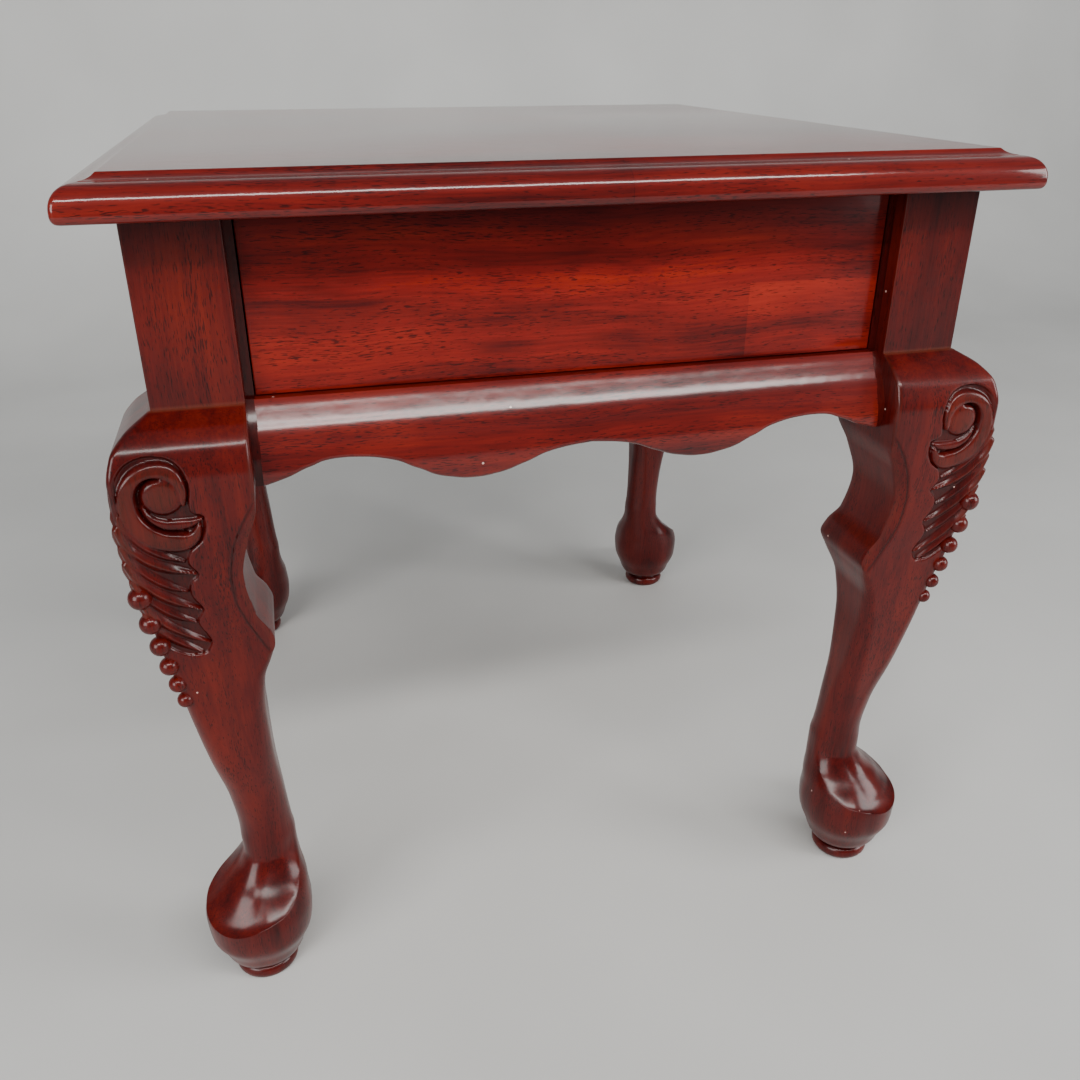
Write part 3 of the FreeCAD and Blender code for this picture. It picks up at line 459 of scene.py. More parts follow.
GROUND = np.array([(-4, 366), (1.5, 377), (3, 388), (2.8, 397), (4.4, 405), (8.5, 410.8), (15, 413.6),
                   (23, 413.6), (31, 411.4), (37, 407), (40.6, 401), (41.6, 394), (40.3, 387),
                   (41, 380.5), (46.5, 378.5), (47, 371), (43, 362), (35.5, 355.5), (33.5, 349.5),
                   (37, 341.5), (31, 335), (29.5, 328.5), (33, 316.5), (28, 309.5), (30, 291.5),
                   (24, 284), (16, 284), (8, 289), (3, 295), (-4, 300)], float)
EYE, EYE_ROUND = (27.0, 391.5), 11.3
print("leaf of", len(LEAF_RIBS), "ribs, scroll of", len(SCROLL), "steps")

# %% The height of the carving
def inside_outline(across, level, outline):
    """Signed distance to a closed outline, positive inside."""
    best = np.full(across.shape, 1e9)
    within = np.zeros(across.shape, bool)
    for (ax, ay), (bx, by) in zip(outline, np.roll(outline, -1, axis=0)):
        dx, dy = bx - ax, by - ay
        t = np.clip(((across - ax) * dx + (level - ay) * dy) / (dx * dx + dy * dy), 0, 1)
        best = np.minimum(best, np.hypot(across - ax - t * dx, level - ay - t * dy))
        if ay != by:
            crosses = (ay > level) != (by > level)
            within ^= crosses & (across < ax + (level - ay) * dx / (by - ay))
    return np.where(within, best, -best)


GROUND_DEPTH = 2.2


def carving(across, level):
    """Height in millimetres above the plain leg of the carved knee."""
    rim = inside_outline(across, level, fair_path(np.vstack([GROUND, GROUND[:1]]), 110)[:-1])
    floor = 1.5 * (1 - soft_step(across, 1.5, 8)) - GROUND_DEPTH
    height = floor * soft_step(rim, -0.3, 1.0)

    def raise_strand(height, path, top, crown):
        far, width = nearest_on_path(across, level, path)
        x = np.clip(far / np.maximum(width, 0.2), 0, 1)
        return np.maximum(height, np.where(far < width, floor + top * crown(x), -9))

    for k, rib in enumerate(LEAF_RIBS):
        top = 3.1 if k % 2 else 2.5
        height = raise_strand(height, rib, top, lambda x: (1 - x) * (1 + 0.2 * x))
    height = raise_strand(height, SCROLL_LIP, 2.5, lambda x: np.sqrt(1 - x ** 2.5))
    height = raise_strand(height, SCROLL, 3.0, lambda x: (1 - x ** 4) ** 0.6)
    height = raise_strand(height, np.array([(*EYE, EYE_ROUND), (EYE[0], EYE[1] + 0.01, EYE_ROUND)]),
                          3.3, lambda x: (1 - x ** 6) ** 0.6 - 0.12 * x)
    far, width = nearest_on_path(across, level, SCROLL_GROOVE)
    height -= 2.0 * np.clip(1 - (far / (width + 0.6)) ** 2, 0, 1)
    return height * soft_step(rim, -0.6, 0.0)


eye_height = carving(np.array([EYE[0]]), np.array([EYE[1] - 0.5]))[0]
print("the scroll's eye stands", round(float(eye_height), 2), "mm proud")

# %% [markdown]
# ### Rows and columns
#
# Rows are close together where there is carving and at the crisp rim of the foot, and wide apart on
# the plain post. Columns are close together on the carved outer side and at the crescent on the inner
# one. The rows of the foot are tilted so that one of them runs exactly along the rim, which is low at
# the toe and climbs at the sides.

# %% Rows and columns of the leg
UNDER_TOP_MM = UNDER_TOP / MM
RIM = 58.0
rows = np.r_[UNDER_TOP_MM, UNDER_TOP_MM - 1, 505, 480, 456, 440, 434, KNEE_LEVEL + 0.35, KNEE_LEVEL,
             KNEE_LEVEL - 0.3, np.arange(KNEE_LEVEL - 1, 276, -0.8), np.arange(275.5, 241, -1.3),
             np.arange(240, 122, -4.0), np.arange(120, RIM + 3, -1.9), RIM + 2, RIM + 1.2, RIM + 0.6,
             RIM + 0.25, RIM, RIM - 0.4, RIM - 1, RIM - 2, np.arange(RIM - 4, 15, -2.3)]
HALF_KNEE, CARVED_WIDTH = 37, 46
carved = 90 - np.degrees(np.arctan((HALF_KNEE - np.linspace(0, CARVED_WIDTH, 64)) / HALF_KNEE))
half = np.concatenate([carved] + [np.linspace(start, end, count)[1:] for start, end, count in (
    (carved[-1], 116, 7), (116, 133, 28), (133, 138, 7), (138, 222, 18), (222, 224, 2))]) - 45
around = np.radians(np.r_[half, (360 - half[1:][::-1])] + 45)
print(len(rows), "rows and", len(around), "columns")

# %% [markdown]
# ### From section to surface
#
# For one height and one direction the surface lies where a ray from the middle of the section meets
# the rounded square. Doing this for the whole grid at once gives the plain leg. Three things are then
# worked into it: the carving on the two outer faces, the bevelled crescent along the cut of the inner
# edge with a fine V cut beside it, and the spoon-shaped dish in the front of the foot.

# %% Where a ray meets a rounded square
def rounded_square(angle, half_side, corner):
    """Point and outward direction on a rounded square, for each direction from its middle."""
    c, s = np.cos(angle), np.sin(angle)
    t = half_side / np.maximum(np.abs(c), np.abs(s))
    x, y = t * c, t * s
    k = half_side - corner
    in_corner = (np.abs(x) > k) & (np.abs(y) > k)
    toward = np.abs(c) * k + np.abs(s) * k
    t_round = toward + np.sqrt(np.maximum(toward ** 2 - 2 * k * k + corner ** 2, 0))
    x, y = np.where(in_corner, t_round * c, x), np.where(in_corner, t_round * s, y)
    nx = np.where(in_corner, (x - np.sign(x) * k) / corner, np.where(np.abs(c) > np.abs(s),
                                                                    np.sign(c), 0))
    ny = np.where(in_corner, (y - np.sign(y) * k) / corner, np.where(np.abs(c) > np.abs(s),
                                                                    0, np.sign(s)))
    return x, y, nx, ny

# %% The plain leg, carved and dished
from_toe = np.abs((np.degrees(around) - 45 - 12 + 180) % 360 - 180)
rim_lift = 9.0 * soft_step(from_toe, 0, 75) + 30.0 * soft_step(from_toe, 60, 122)
tilt = soft_step(rows, 18, RIM) * (1 - soft_step(rows, RIM, 165))
level = rows[:, None] + tilt[:, None] * rim_lift[None, :]
angle = np.broadcast_to(around, level.shape)
on_post = rows > KNEE_LEVEL - 0.1


def along_leg(values, post_value):
    """A section size over the whole grid; the post above the knee is a plain square."""
    made = fair_curve(level, heights, values)
    return np.where(on_post[:, None], post_value, made)


POST_ROUND = 0.9
hi = along_leg(reach, 0.0)
lo = -POST_MM + along_leg(cut_in, 0.0)
crisp_arris = soft_step(level, 262, 288) * (1 - soft_step(level, 412, KNEE_LEVEL - 2))
diagonal_r = along_leg(diagonal_round, POST_ROUND) * (1 - 0.5 * crisp_arris)
side_r = along_leg(side_round, POST_ROUND)
on_diagonal = (angle * 2 / math.pi).astype(int) % 2 == 0
corner = np.where(on_diagonal, diagonal_r, side_r)
middle, half_side = (hi + lo) / 2, (hi - lo) / 2
x, y, nx, ny = rounded_square(angle, half_side, np.minimum(corner, half_side * 0.97))
p, q = middle + x, middle + y

CARVED_FROM, CARVED_TO = 278, 424
outer = (angle < math.radians(135)) | (angle > math.radians(315))
from_arris = np.maximum(hi - p, hi - q)
height = np.where(outer & (level > CARVED_FROM) & (level < CARVED_TO), carving(from_arris, level), 0)
CRESCENT = [(388, -3, -3), (383, -1.5, 0.9), (373, 2.5, 7.5), (360, 7.2, 13.9), (347, 10.6, 17.7),
            (334, 12.6, 19.4), (321, 12.4, 19.0), (308, 9.0, 15.8), (293.5, 3.5, 10.4),
            (285, 0.5, 6.8), (277, 2.5, 3.6), (271, 4, 4)]
CRESCENT_FOOT, CRESCENT_HEAD = 271, 387
crescent_level, crescent_edge, crescent_line = np.array(CRESCENT, float).T
edge_in = fair_curve(level, crescent_level, crescent_edge)
line_in = fair_curve(level, crescent_level, crescent_line)
on_q_side = (angle > math.radians(45)) & (angle < math.radians(225))
inward = np.where(on_q_side, p, q) + POST_MM
band = np.maximum(line_in - edge_in, 0.01)
bevel = np.clip((line_in - inward) / band, 0, 1.3)
on_band = (level > CRESCENT_FOOT) & (level < CRESCENT_HEAD) & (inward < line_in)
set_back = np.where(on_band, np.minimum(4.4, band * 0.62) * (0.12 * soft_step(bevel, 0, 0.1)
                                                           + 0.88 * bevel), 0)
line_cut = 1.0 * np.exp(-((inward - line_in - 0.4) / 0.8) ** 2) * soft_step(band, 1, 4)
line_cut = np.where(outer & (level > CRESCENT_FOOT + 2) & (level < CRESCENT_HEAD - 1), line_cut, 0)
height = height - line_cut
DISH_DEPTH, DISH_DEEPEST_AT = 8.5, 12
above_rim = np.maximum(level - (RIM + rim_lift), 0)
steep = above_rim / DISH_DEEPEST_AT
scoop = (steep * np.exp(1 - steep)) ** 0.8 * (1 - soft_step(above_rim, 24, 60))
dish = DISH_DEPTH * scoop * np.cos(np.radians(np.clip(from_toe * 90 / 104, 0, 90))) ** 1.3
dish = np.where(rows[:, None] >= RIM, dish * (1 - soft_step(level, 100, 142)), 0)
p, q = p + nx * height - dish * np.cos(angle), q + ny * height - dish * np.sin(angle)
q = np.where(on_q_side & on_band, np.minimum(q, hi - set_back), q)
p = np.where(~on_q_side & on_band, np.minimum(p, hi - set_back), p)
print(f"deepest dish {dish.max():.1f} mm")
print(f"carving {-height.min():.1f} mm deep and {height.max():.1f} mm proud")

# %% [markdown]
# ### Painted shade and rubbed edges
#
# The finish is not even: the hollows of the carving, the V cut and the neck of the pad are darkened as
# painted shade, and polish thins on the arrises as real wear. The amount is kept on the mesh as one
# number per point, from -1 (painted shade) to 1 (rubbed), and the lacquer reads it.

# %% Painted shade and rubbed wear along the leg
# Painted shade: the carving's hollows are darkened by their depth.
finish = np.clip(height * 0.24, -0.5, 0) * (level > 279)
tight = (np.hypot(nx, ny) > 0.5) & (np.abs(nx) > 0.02) & (np.abs(ny) > 0.02) & (corner < 4.2)
finish = finish + np.where(tight & ~on_diagonal, 0.10, 0)
finish = finish + np.where((np.abs(level - KNEE_LEVEL) < 0.5) & outer, 0.40, 0)
finish = finish + 0.18 * np.clip(height, 0, 1)
# Painted shade: the V cut beside the crescent is darkened.
finish = finish - 0.45 * line_cut

# %% The turned pad under the foot
PAD_IN, PAD_NECK = 12.4, 10.2
pad_rows = [(13.2, 20.3), (12.4, 18.7), (11.6, 18.3), (10.9, 18.8), (10.3, 20.0), (9.4, 21.2),
            (7.8, 22.0), (5.6, 22.3), (3.4, 21.9), (1.6, 20.9), (0.5, 19.6), (0.0, 18.2)]
pad_level, pad_round = np.array(pad_rows).T
pad_p = -PAD_IN + pad_round[:, None] * np.cos(around)[None, :]
pad_q = -PAD_IN + pad_round[:, None] * np.sin(around)[None, :]
leg_p, leg_q = np.vstack([p, pad_p]), np.vstack([q, pad_q])
leg_z = np.vstack([level, np.broadcast_to(pad_level[:, None], pad_p.shape)])
# Painted shade: the neck of the pad, in the cove under the foot, is darkened.
leg_wear_and_shade = np.vstack([finish, np.where(pad_level[:, None] > PAD_NECK, -0.5, 0) * np.ones_like(pad_p)])
print("a leg has", leg_p.size, "points")

# %% Build the four legs
leg_wood = lacquered_wood("leg_lacquer", "z", 2.3, shade=0.31, shade_under_top=0.45, warm=0.55, film=0.6,
                          gloss=0.2)


def build_leg(name, side_x, side_y):
    """One leg: the same grid, handed to its corner."""
    count_r, count_c = leg_p.shape
    world = np.stack([side_x * (POST_X + leg_p * MM), side_y * (POST_Y + leg_q * MM), leg_z * MM], -1)
    points = world.reshape(-1, 3).tolist()
    faces = []
    for r in range(count_r - 1):
        for c in range(count_c):
            d = (c + 1) % count_c
            quad = (r * count_c + c, (r + 1) * count_c + c, (r + 1) * count_c + d, r * count_c + d)
            faces.append(quad if side_x * side_y > 0 else quad[::-1])
    for row, turned in ((0, False), (count_r - 1, True)):
        middle_point = world[row].mean(0)
        points.append(middle_point.tolist())
        for c in range(count_c):
            d = (c + 1) % count_c
            fan = (row * count_c + c, row * count_c + d, len(points) - 1)
            faces.append(fan if (side_x * side_y > 0) != turned else fan[::-1])
    piece = make_piece(name + "_carved", points, faces, leg_wood, (name,), 62)
    values = np.r_[leg_wear_and_shade.ravel(), 0, 0].astype(np.float32)
    piece.data.attributes.new("finish", "FLOAT", "POINT").data.foreach_set("value", values)
    return piece


for name, side_x, side_y in (("leg_front_left", -1, -1), ("leg_front_right", 1, -1),
                             ("leg_back_left", -1, 1), ("leg_back_right", 1, 1)):
    leg = build_leg(name, side_x, side_y)
print("legs built,", len(leg.data.polygons), "faces each")

# %% [markdown]
# ## The graduated beads
#
# Six beads run down the outer arris of each knee, each a little smaller and closer than the last. They
# repeat by a rule, so Geometry Nodes places them: one point per bead, its number in the row gives its
# level, its reach and its size, and its corner gives its signs. The instances are realised into one
# plain mesh.

# %% Helpers for node trees of geometry
class TreeMaker:
    """A Geometry Nodes tree with named inputs, written node by node."""

    def __init__(self, name, inputs):
        self.tree = bpy.data.node_groups.new(name, "GeometryNodeTree")
        face = self.tree.interface
        self.ids = {}
        for key, kind in inputs.items():
            self.ids[key] = face.new_socket(key, in_out="INPUT", socket_type=kind).identifier
        face.new_socket("Geometry", in_out="OUTPUT", socket_type="NodeSocketGeometry")
        self.start = self.tree.nodes.new("NodeGroupInput")
        self.end = self.tree.nodes.new("NodeGroupOutput")

    def take(self, key):
        return self.start.outputs[key]

    def node(self, kind, links=(), **settings):
        made = self.tree.nodes.new(kind)
        for key, value in settings.items():
            setattr(made, key, value)
        for key, value in dict(links).items():
            if isinstance(value, bpy.types.NodeSocket):
                self.tree.links.new(value, made.inputs[key])
            else:
                made.inputs[key].default_value = value
        return made

    def math(self, how, first, second=0.0, third=0.0):
        return self.node("ShaderNodeMath", {0: first, 1: second, 2: third}, operation=how).outputs[0]

    def finish(self, geometry, material):
        plain = self.node("GeometryNodeRealizeInstances", {0: geometry})
        coated = self.node("GeometryNodeSetMaterial", {"Geometry": plain.outputs[0],
                                                       "Material": material})
        self.tree.links.new(coated.outputs[0], self.end.inputs[0])

    def mesh(self, name, values):
        """Runs the tree on an empty mesh and returns the result as a plain mesh object."""
        holder = bpy.data.objects.new(name + "_source", bpy.data.meshes.new(name + "_source"))
        bpy.context.scene.collection.objects.link(holder)
        modifier = holder.modifiers.new("Rule", "NODES")
        modifier.node_group = self.tree
        for key, value in values.items():
            modifier[self.ids[key]] = value
        bpy.context.view_layer.update()
        graph = bpy.context.evaluated_depsgraph_get()
        mesh = bpy.data.meshes.new_from_object(holder.evaluated_get(graph))
        mesh.name = name
        holder.modifiers.remove(modifier)
        bpy.data.objects.remove(holder)
        return bpy.data.objects.new(name, mesh)

# %% The row of beads
beads = TreeMaker("graduated_beads", {
    "Beads": "NodeSocketInt", "Post X": "NodeSocketFloat", "Post Y": "NodeSocketFloat",
    "First level": "NodeSocketFloat", "First gap": "NodeSocketFloat", "Gap less": "NodeSocketFloat",
    "First reach": "NodeSocketFloat", "Reach less": "NodeSocketFloat", "First size": "NodeSocketFloat",
    "Size less": "NodeSocketFloat", "Material": "NodeSocketMaterial"})
total = beads.math("MULTIPLY", beads.take("Beads"), 4.0)
line = beads.node("GeometryNodeMeshLine", {"Count": total})
index = beads.node("GeometryNodeInputIndex").outputs[0]
number = beads.math("MODULO", index, beads.take("Beads"))
which = beads.math("FLOOR", beads.math("DIVIDE", index, beads.take("Beads")))
sign_x = beads.math("MULTIPLY_ADD", beads.math("MODULO", which, 2.0), 2.0, -1.0)
sign_y = beads.math("MULTIPLY_ADD", beads.math("FLOOR", beads.math("DIVIDE", which, 2.0)), 2.0, -1.0)
gap = beads.math("MULTIPLY_ADD", number, beads.math("MULTIPLY", beads.take("Gap less"), -1.0),
                 beads.take("First gap"))
fall = beads.math("MULTIPLY", number, gap)
rise = beads.math("SUBTRACT", beads.take("First level"), fall)
out_by = beads.math("SUBTRACT", beads.take("First reach"),
                    beads.math("MULTIPLY", number, beads.take("Reach less")))
bead_x = beads.math("MULTIPLY", sign_x, beads.math("ADD", beads.take("Post X"), out_by))
bead_y = beads.math("MULTIPLY", sign_y, beads.math("ADD", beads.take("Post Y"), out_by))
spot = beads.node("ShaderNodeCombineXYZ", {0: bead_x, 1: bead_y, 2: rise})
placed = beads.node("GeometryNodeSetPosition", {"Geometry": line.outputs[0],
                                                "Position": spot.outputs[0]})
ball = beads.node("GeometryNodeMeshIcoSphere", {"Radius": 1.0, "Subdivisions": 5})
soft = beads.node("GeometryNodeSetShadeSmooth", {"Geometry": ball.outputs[0]})
size = beads.math("SUBTRACT", beads.take("First size"),
                  beads.math("MULTIPLY", number, beads.take("Size less")))
row = beads.node("GeometryNodeInstanceOnPoints", {"Points": placed.outputs[0],
                                                  "Instance": soft.outputs[0], "Scale": size})
beads.finish(row.outputs[0], beads.take("Material"))
bead_rows = beads.mesh("knee_beads", {
    "Beads": 6, "Post X": POST_X, "Post Y": POST_Y, "First level": 0.3293, "First gap": 0.0189,
    "Gap less": 0.0006, "First reach": 0.0204, "Reach less": 0.00243, "First size": 0.0068,
    "Size less": 0.00036, "Material": leg_wood})
place_piece(bead_rows, "table", ())
print("beads:", len(bead_rows.data.vertices), "points")

# %% [markdown]
# ## The scalloped rails
#
# Under each board runs a rail whose face swells outwards and whose lower edge is cut in a long wave.
# Both are rules: one curve gives the lower edge along the length and one gives the swell over the
# height. A grid is bent over both, then pushed back to a flat inner face, so the four rails differ only
# in their length and their turn.

# %% A curve read by a node
def set_curve(made, points):
    """Gives a float curve node its points, from 0 to 1 both ways."""
    curve = made.mapping.curves[0]
    while len(curve.points) < len(points):
        curve.points.new(0.5, 0.5)
    for spot, (at, value) in zip(curve.points, points):
        spot.location = (at, value)
        spot.handle_type = "AUTO"
    made.mapping.update()
    return made

# %% The rail tree
LOWEST, HIGHEST_CUT = 377.6 * MM, 398 * MM
SWELL_MOST, SWELL_OVER = 22.2 * MM, 56 * MM
LOWER_EASE, RAIL_FIT = 2.8 * MM, 0.8 * MM
rail = TreeMaker("scalloped_rail", {
    "Length": "NodeSocketFloat", "Board face": "NodeSocketFloat", "Back face": "NodeSocketFloat",
    "Top": "NodeSocketFloat", "Lowest": "NodeSocketFloat", "Crest": "NodeSocketFloat",
    "Swell": "NodeSocketFloat", "Ease": "NodeSocketFloat", "Turn": "NodeSocketFloat",
    "Material": "NodeSocketMaterial"})
sheet = rail.node("GeometryNodeMeshGrid", {"Size X": 1.0, "Size Y": 1.0, "Vertices X": 260,
                                           "Vertices Y": 56})
parts = rail.node("ShaderNodeSeparateXYZ",
                  {0: rail.node("GeometryNodeInputPosition").outputs[0]}).outputs
along = rail.math("MULTIPLY", parts[0], rail.take("Length"))
share_out = rail.math("MULTIPLY", rail.math("ABSOLUTE", parts[0]), 2.0)
wave = set_curve(rail.node("ShaderNodeFloatCurve", {"Value": share_out}), [
    (0.0, 0.80), (0.10, 0.70), (0.22, 0.32), (0.31, 0.06), (0.37, 0.0), (0.44, 0.08), (0.55, 0.50),
    (0.64, 0.86), (0.72, 0.98), (0.78, 1.0), (0.86, 0.84), (0.93, 0.58), (1.0, 0.38)])
lower = rail.math("MULTIPLY_ADD", wave.outputs[0], rail.math("SUBTRACT", rail.take("Crest"),
                                                            rail.take("Lowest")), rail.take("Lowest"))
up_share = rail.math("POWER", rail.math("ADD", parts[1], 0.5), 1.5)
depth = rail.math("SUBTRACT", rail.take("Top"), lower)
z_at = rail.math("MULTIPLY_ADD", up_share, depth, lower)
down = rail.math("DIVIDE", rail.math("SUBTRACT", rail.take("Top"), z_at), SWELL_OVER)
swell = set_curve(rail.node("ShaderNodeFloatCurve", {"Value": down}), [
    (0.0, 0.22), (0.045, 0.27), (0.10, 0.35), (0.20, 0.50), (0.30, 0.66), (0.39, 0.76), (0.54, 0.90),
    (0.71, 0.99), (0.86, 0.965), (1.0, 0.90)])
low_by = rail.math("MINIMUM", rail.math("SUBTRACT", z_at, lower), rail.take("Ease"))
inner = rail.math("SUBTRACT", rail.take("Ease"), low_by)
arc = rail.math("SQRT", rail.math("MAXIMUM", rail.math("SUBTRACT",
                rail.math("MULTIPLY", rail.take("Ease"), rail.take("Ease")),
                rail.math("MULTIPLY", inner, inner)), 0.0))
eased = rail.math("SUBTRACT", rail.take("Ease"), arc)
face_at = rail.math("SUBTRACT", rail.math("MULTIPLY_ADD", swell.outputs[0], rail.take("Swell"),
                                          rail.take("Board face")), eased)
front_spot = rail.node("ShaderNodeCombineXYZ", {0: along, 1: rail.math("MULTIPLY", face_at, -1.0),
                                                2: z_at})
front = rail.node("GeometryNodeSetPosition", {"Geometry": sheet.outputs[0],
                                              "Position": front_spot.outputs[0]})
pushed = rail.node("GeometryNodeExtrudeMesh", {"Mesh": front.outputs[0], "Offset Scale": 0.0,
                                               "Individual": False}, mode="FACES")
now = rail.node("ShaderNodeSeparateXYZ",
                {0: rail.node("GeometryNodeInputPosition").outputs[0]}).outputs
back_spot = rail.node("ShaderNodeCombineXYZ", {0: now[0], 1: rail.math("MULTIPLY",
                                               rail.take("Back face"), -1.0), 2: now[2]})
back = rail.node("GeometryNodeSetPosition", {"Geometry": pushed.outputs[0], "Selection":
                                             pushed.outputs["Top"], "Position": back_spot.outputs[0]})
turned_in = rail.node("GeometryNodeFlipFaces", {0: back.outputs[0]})
joined = rail.node("GeometryNodeJoinGeometry")
rail.tree.links.new(turned_in.outputs[0], joined.inputs[0])
rail.tree.links.new(front.outputs[0], joined.inputs[0])
closed = rail.node("GeometryNodeMergeByDistance", {"Geometry": joined.outputs[0], "Distance": 1e-6})
smooth = rail.node("GeometryNodeSetShadeSmooth", {"Geometry": closed.outputs[0]})
angle_at = rail.node("ShaderNodeCombineXYZ", {2: rail.take("Turn")})
spun = rail.node("GeometryNodeTransform", {"Geometry": smooth.outputs[0],
                                           "Rotation": angle_at.outputs[0]})
rail.finish(spun.outputs[0], rail.take("Material"))

# %% Four rails
rail_woods = {axis: lacquered_wood(f"rail_lacquer_{axis}", axis, seed, shade=0.46, warm=0.42, film=1.0)
              for axis, seed in (("x", 5.1), ("y", 7.4))}
for name, turn in (("rail_front", 0), ("rail_right", 1), ("rail_back", 2), ("rail_left", 3)):
    axis = "xy"[turn % 2]
    board_face = BOARD_Y if axis == "x" else BOARD_X
    inside = -strip_high.x if axis == "x" else -side_strip_high.y
    made = rail.mesh(name + "_shaped", {
        "Length": 2 * inside + RAIL_FIT, "Board face": board_face, "Back face": board_face - BOARD_DEPTH,
        "Top": RAIL_TOP, "Lowest": LOWEST, "Crest": HIGHEST_CUT, "Swell": SWELL_MOST, "Ease": LOWER_EASE,
        "Turn": turn * math.pi / 2, "Material": rail_woods[axis]})
    made.data.set_sharp_from_angle(angle=math.radians(40))
    place_piece(made, "table", (name,))
    print(name, len(made.data.polygons), "faces")

# %% [markdown]
# ## The moulded top
#
# The top is a thick board whose edge is worked with a small cove, a gentle fall and a rounded nose. A
# profile swept round a rectangle with mitred corners makes it: one closed loop of points for every
# point of the profile. The nose is rounded a little in plan at the corners, where sanding softens it.

# %% The top's edge profile
TOP_EDGE = [(-0.6, 555.0), (0.0, 554.9), (0.5, 554.5), (1.6, 553.5), (3.0, 552.7), (4.6, 552.1),
            (6.0, 551.75), (7.2, 551.6), (7.8, 551.35), (8.6, 551.25), (11.0, 551.0), (13.5, 550.4),
            (15.6, 549.4), (17.4, 548.0), (18.9, 546.2), (20.1, 544.0), (20.8, 541.7), (21.1, 539.2),
            (21.15, 537.2), (20.9, 535.6), (20.3, 534.3), (19.4, 533.4), (18.2, 533.0)]
edge_out, edge_up = np.array(TOP_EDGE).T
steps = np.r_[0, np.cumsum(np.hypot(np.diff(edge_out), np.diff(edge_up)))]
fine_steps = np.unique(np.r_[steps, np.arange(0, steps[-1], 0.55)])
edge_out, edge_up = fair_curve(fine_steps, steps, edge_out), fair_curve(fine_steps, steps, edge_up)
EDGE_REACH = 21.15
FLAT_X, FLAT_Y = top_high.x / MM - EDGE_REACH, top_high.y / MM - EDGE_REACH
print("flat of the top:", round(2 * FLAT_X), "by", round(2 * FLAT_Y), "mm")

# %% Sweep it round the top
def rounded_loop(half_x, half_y, corner, each=7, along=24):
    """Points round a rectangle with rounded corners, seen from above, turning left."""
    loop = []
    for k, (sx, sy) in enumerate(((1, -1), (1, 1), (-1, 1), (-1, -1))):
        cx, cy = sx * (half_x - corner), sy * (half_y - corner)
        for a in np.linspace(k * 90 - 90, k * 90, each):
            loop.append((cx + corner * math.cos(math.radians(a)),
                         cy + corner * math.sin(math.radians(a))))
        nx, ny = ((1, 1), (-1, 1), (-1, -1), (1, -1))[k]
        tx, ty = nx * (half_x - corner), ny * (half_y - corner)
        ax, ay = loop[-1]
        bx = (tx + corner * math.cos(math.radians(k * 90)))
        by = (ty + corner * math.sin(math.radians(k * 90)))
        loop += [(ax + (bx - ax) * t, ay + (by - ay) * t) for t in np.linspace(0, 1, along)[1:-1]]
    return loop


FLAT_ROUND, NOSE_ROUND = 0.25, 2.6
top_points, top_faces = [], []
for out, up in zip(edge_out, edge_up):
    corner = FLAT_ROUND + NOSE_ROUND * max(0.0, out / 21) ** 2
    for px, py in rounded_loop(FLAT_X + out, FLAT_Y + out, corner):
        top_points.append((px * MM, py * MM, up * MM))
ring = len(top_points) // len(edge_out)
for r in range(len(edge_out) - 1):
    for c in range(ring):
        d = (c + 1) % ring
        top_faces.append((r * ring + c, (r + 1) * ring + c, (r + 1) * ring + d, r * ring + d))
top_faces.append(tuple(range(ring)))
top_faces.append(tuple(reversed(range((len(edge_out) - 1) * ring, len(edge_out) * ring))))
top_wood = lacquered_wood("top_lacquer", "x", 1.2, stave=-0.078, shade=0.5, warm=0.40, gloss=0.12,
                         film=1.0)
top = make_piece("table_top_moulded", top_points, top_faces, top_wood, ("table_top",), 28)
bm = bmesh.new()
bm.from_mesh(top.data)
print("top faces point out:", sum(f.normal.z * (f.calc_center_median().z - 0.54) > -1e-9
                                  for f in bm.faces if abs(f.normal.z) > 0.99), "of the flat ones")
bm.free()

# %% [markdown]
# ## Boards: the sides and the drawer front
#
# Between the posts stand flat boards glued from staves. The drawer front is one of them and looks the
# same as the fixed sides. A sawn board has its arrises eased with paper, so each is a box with a small
# bevel, cut finely enough for the finish to read.

# %% Eased boards
def eased_board(name, stands_for, low, high, material, body, ease=0.0006):
    """A board with rounded arrises between two corners."""
    bm = bmesh.new()
    bmesh.ops.create_cube(bm, size=1.0)
    for vert in bm.verts:
        vert.co = Vector([low[k] if vert.co[k] < 0 else high[k] for k in range(3)])
    bmesh.ops.bevel(bm, geom=list(bm.edges), offset=ease, segments=3, profile=0.5, affect="EDGES",
                    clamp_overlap=True)
    mesh = bpy.data.meshes.new(name)
    bm.to_mesh(mesh)
    bm.free()
    shade_mesh(mesh, material, 35)
    return place_piece(bpy.data.objects.new(name, mesh), body, (stands_for,))


board_woods = {axis: lacquered_wood(f"board_lacquer_{axis}", axis, seed, stave=0.046, shade=0.72,
                                    shade_under_top=0.62, warm=0.58, film=0.4)
               for axis, seed in (("x", 3.7), ("y", 9.2))}
for name, axis, body in (("drawer_front", "x", "drawer"), ("panel_back", "x", "table"),
                         ("panel_left", "y", "table"), ("panel_right", "y", "table")):
    low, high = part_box(name)
    board = eased_board(name + "_board", name, low, high, board_woods[axis], body)
    print(board.name, [round(x, 4) for x in board.dimensions])

# %% [markdown]
# ## The dark strips and the hidden work
#
# A narrow strip fills each joint between a post and its board. It is coloured nearly black as painted
# shade, standing for the dark band beside each post. The frame's own pieces have the right profile, so
# they keep their shape and are only finished, as are the runners, blocks, drawer box, screws and bolts.

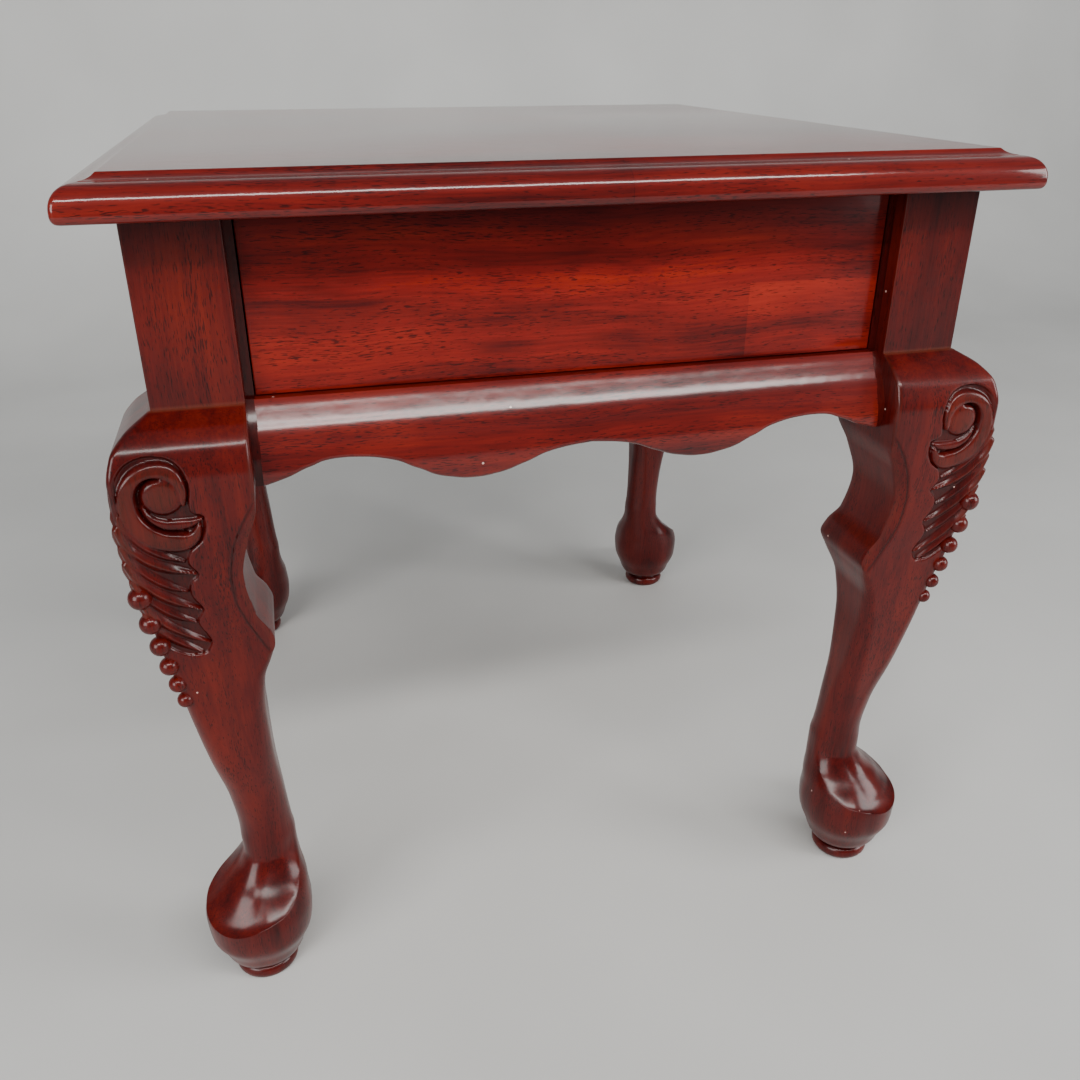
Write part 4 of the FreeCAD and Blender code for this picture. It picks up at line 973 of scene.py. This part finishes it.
# %% Finish the frame's own pieces
# The strips are coloured nearly black as painted shade for the dark band beside each post.
painted_shade_strip_wood = lacquered_wood("strip_painted_shade_lacquer", "z", 6.6, shade=0.22, gloss=0.12)
for name, piece in frame["nodes"].items():
    if piece.hide_render:
        continue
    if name.startswith("strip_"):
        finish_with = painted_shade_strip_wood
    elif name == "leg_bolts" or name.endswith("_screws"):
        finish_with = steel
    elif name == "drawer_bottom":
        finish_with = plywood
    elif name in ("drawer_back", "drawer_inner_front"):
        finish_with = inner_woods["x"]
    else:
        finish_with = inner_woods["y"]
    piece.data.materials.clear()
    piece.data.materials.append(finish_with)
print(sum(not piece.hide_render for piece in frame["nodes"].values()), "frame pieces finished")

# %% [markdown]
# ## Floor, light and camera
#
# A pale floor that curves up into a wall, and soft light as from tall windows. A long narrow light high
# in front draws the highlights on the swell of the rails and the brows of the knees. Two wide ones, to
# the left and the right, light the fronts without being mirrored in them, and the pale surroundings
# give the gloss something even to reflect.

# %% A pale floor
def pale_stage(name, points, faces, low, high):
    """A wide pale surface with a faint mottle."""
    mesh = bpy.data.meshes.new(name)
    mesh.from_pydata(points, [], faces)
    mesh.polygons.foreach_set("use_smooth", [True] * len(mesh.polygons))
    material = bpy.data.materials.new(name + "_pale")
    material.use_nodes = True
    tree = material.node_tree
    shader = tree.nodes["Principled BSDF"]
    here = node(tree, "ShaderNodeTexCoord").outputs["Object"]
    mottle = node(tree, "ShaderNodeTexNoise", Vector=here, Scale=3.0, Detail=3.0).outputs["Fac"]
    tree.links.new(ramp(tree, mottle, [(0.3, low), (0.7, high)]), shader.inputs["Base Color"])
    shader.inputs["Roughness"].default_value = 0.62
    mesh.materials.append(material)
    made = bpy.data.objects.new(name, mesh)
    bpy.context.scene.collection.objects.link(made)


WALL_AT, WALL_TOP, COVE, FLOOR_FRONT, HALF_WIDE = 2.0, 2.4, 0.7, -6.0, 16.0
sweep = [(FLOOR_FRONT, 0.0), (0.0, 0.0), (WALL_AT - COVE, 0.0)]
sweep += [(WALL_AT - COVE + COVE * math.sin(a), COVE - COVE * math.cos(a))
          for a in np.linspace(0.1, math.pi / 2, 14)] + [(WALL_AT, WALL_TOP)]
stage_points = [(x, y, z) for y, z in sweep for x in (-HALF_WIDE, HALF_WIDE)]
stage_faces = [(2 * k, 2 * k + 1, 2 * k + 3, 2 * k + 2) for k in range(len(sweep) - 1)]
pale_stage("floor", stage_points, stage_faces, (0.50, 0.50, 0.49), (0.55, 0.55, 0.54))

# %% Soft studio light
world = bpy.data.worlds.new("pale_room")
bpy.context.scene.world = world
world.use_nodes = True
sky = world.node_tree.nodes["Background"]
sky.inputs["Color"].default_value = (0.72, 0.76, 0.80, 1)
sky.inputs["Strength"].default_value = 0.30


LOOK_AT = (0, 0, 0.3)


def soft_light(name, at, wide, tall, power, colour):
    """A rectangular soft light turned to the middle of the table."""
    data = bpy.data.lights.new(name, "AREA")
    data.shape, data.size, data.size_y = "RECTANGLE", wide, tall
    data.energy, data.color = power, colour
    made = bpy.data.objects.new(name, data)
    made.location = at
    made.rotation_euler = (Vector(LOOK_AT) - Vector(at)).to_track_quat("-Z", "Y").to_euler()
    bpy.context.scene.collection.objects.link(made)


soft_light("high_front", (0.15, -2.05, 2.4), 3.0, 0.26, 80, (1.0, 0.98, 0.95))
soft_light("left_window", (-2.2, -2.1, 1.3), 1.6, 1.5, 78, (1.0, 0.99, 0.97))
soft_light("right_window", (2.7, -1.6, 1.3), 1.4, 1.5, 70, (1.0, 0.99, 0.98))

# %% The camera
lens = bpy.data.cameras.new("camera")
lens.sensor_width = 36.0
lens.lens = 33.28
lens.clip_start, lens.clip_end = 0.01, 50
camera = bpy.data.objects.new("camera", lens)
camera.location = (-0.1741, -0.8089, 0.6090)
camera.rotation_euler = (math.radians(90 - 26.299), 0.0, math.radians(-14.614))
bpy.context.scene.collection.objects.link(camera)
bpy.context.scene.camera = camera
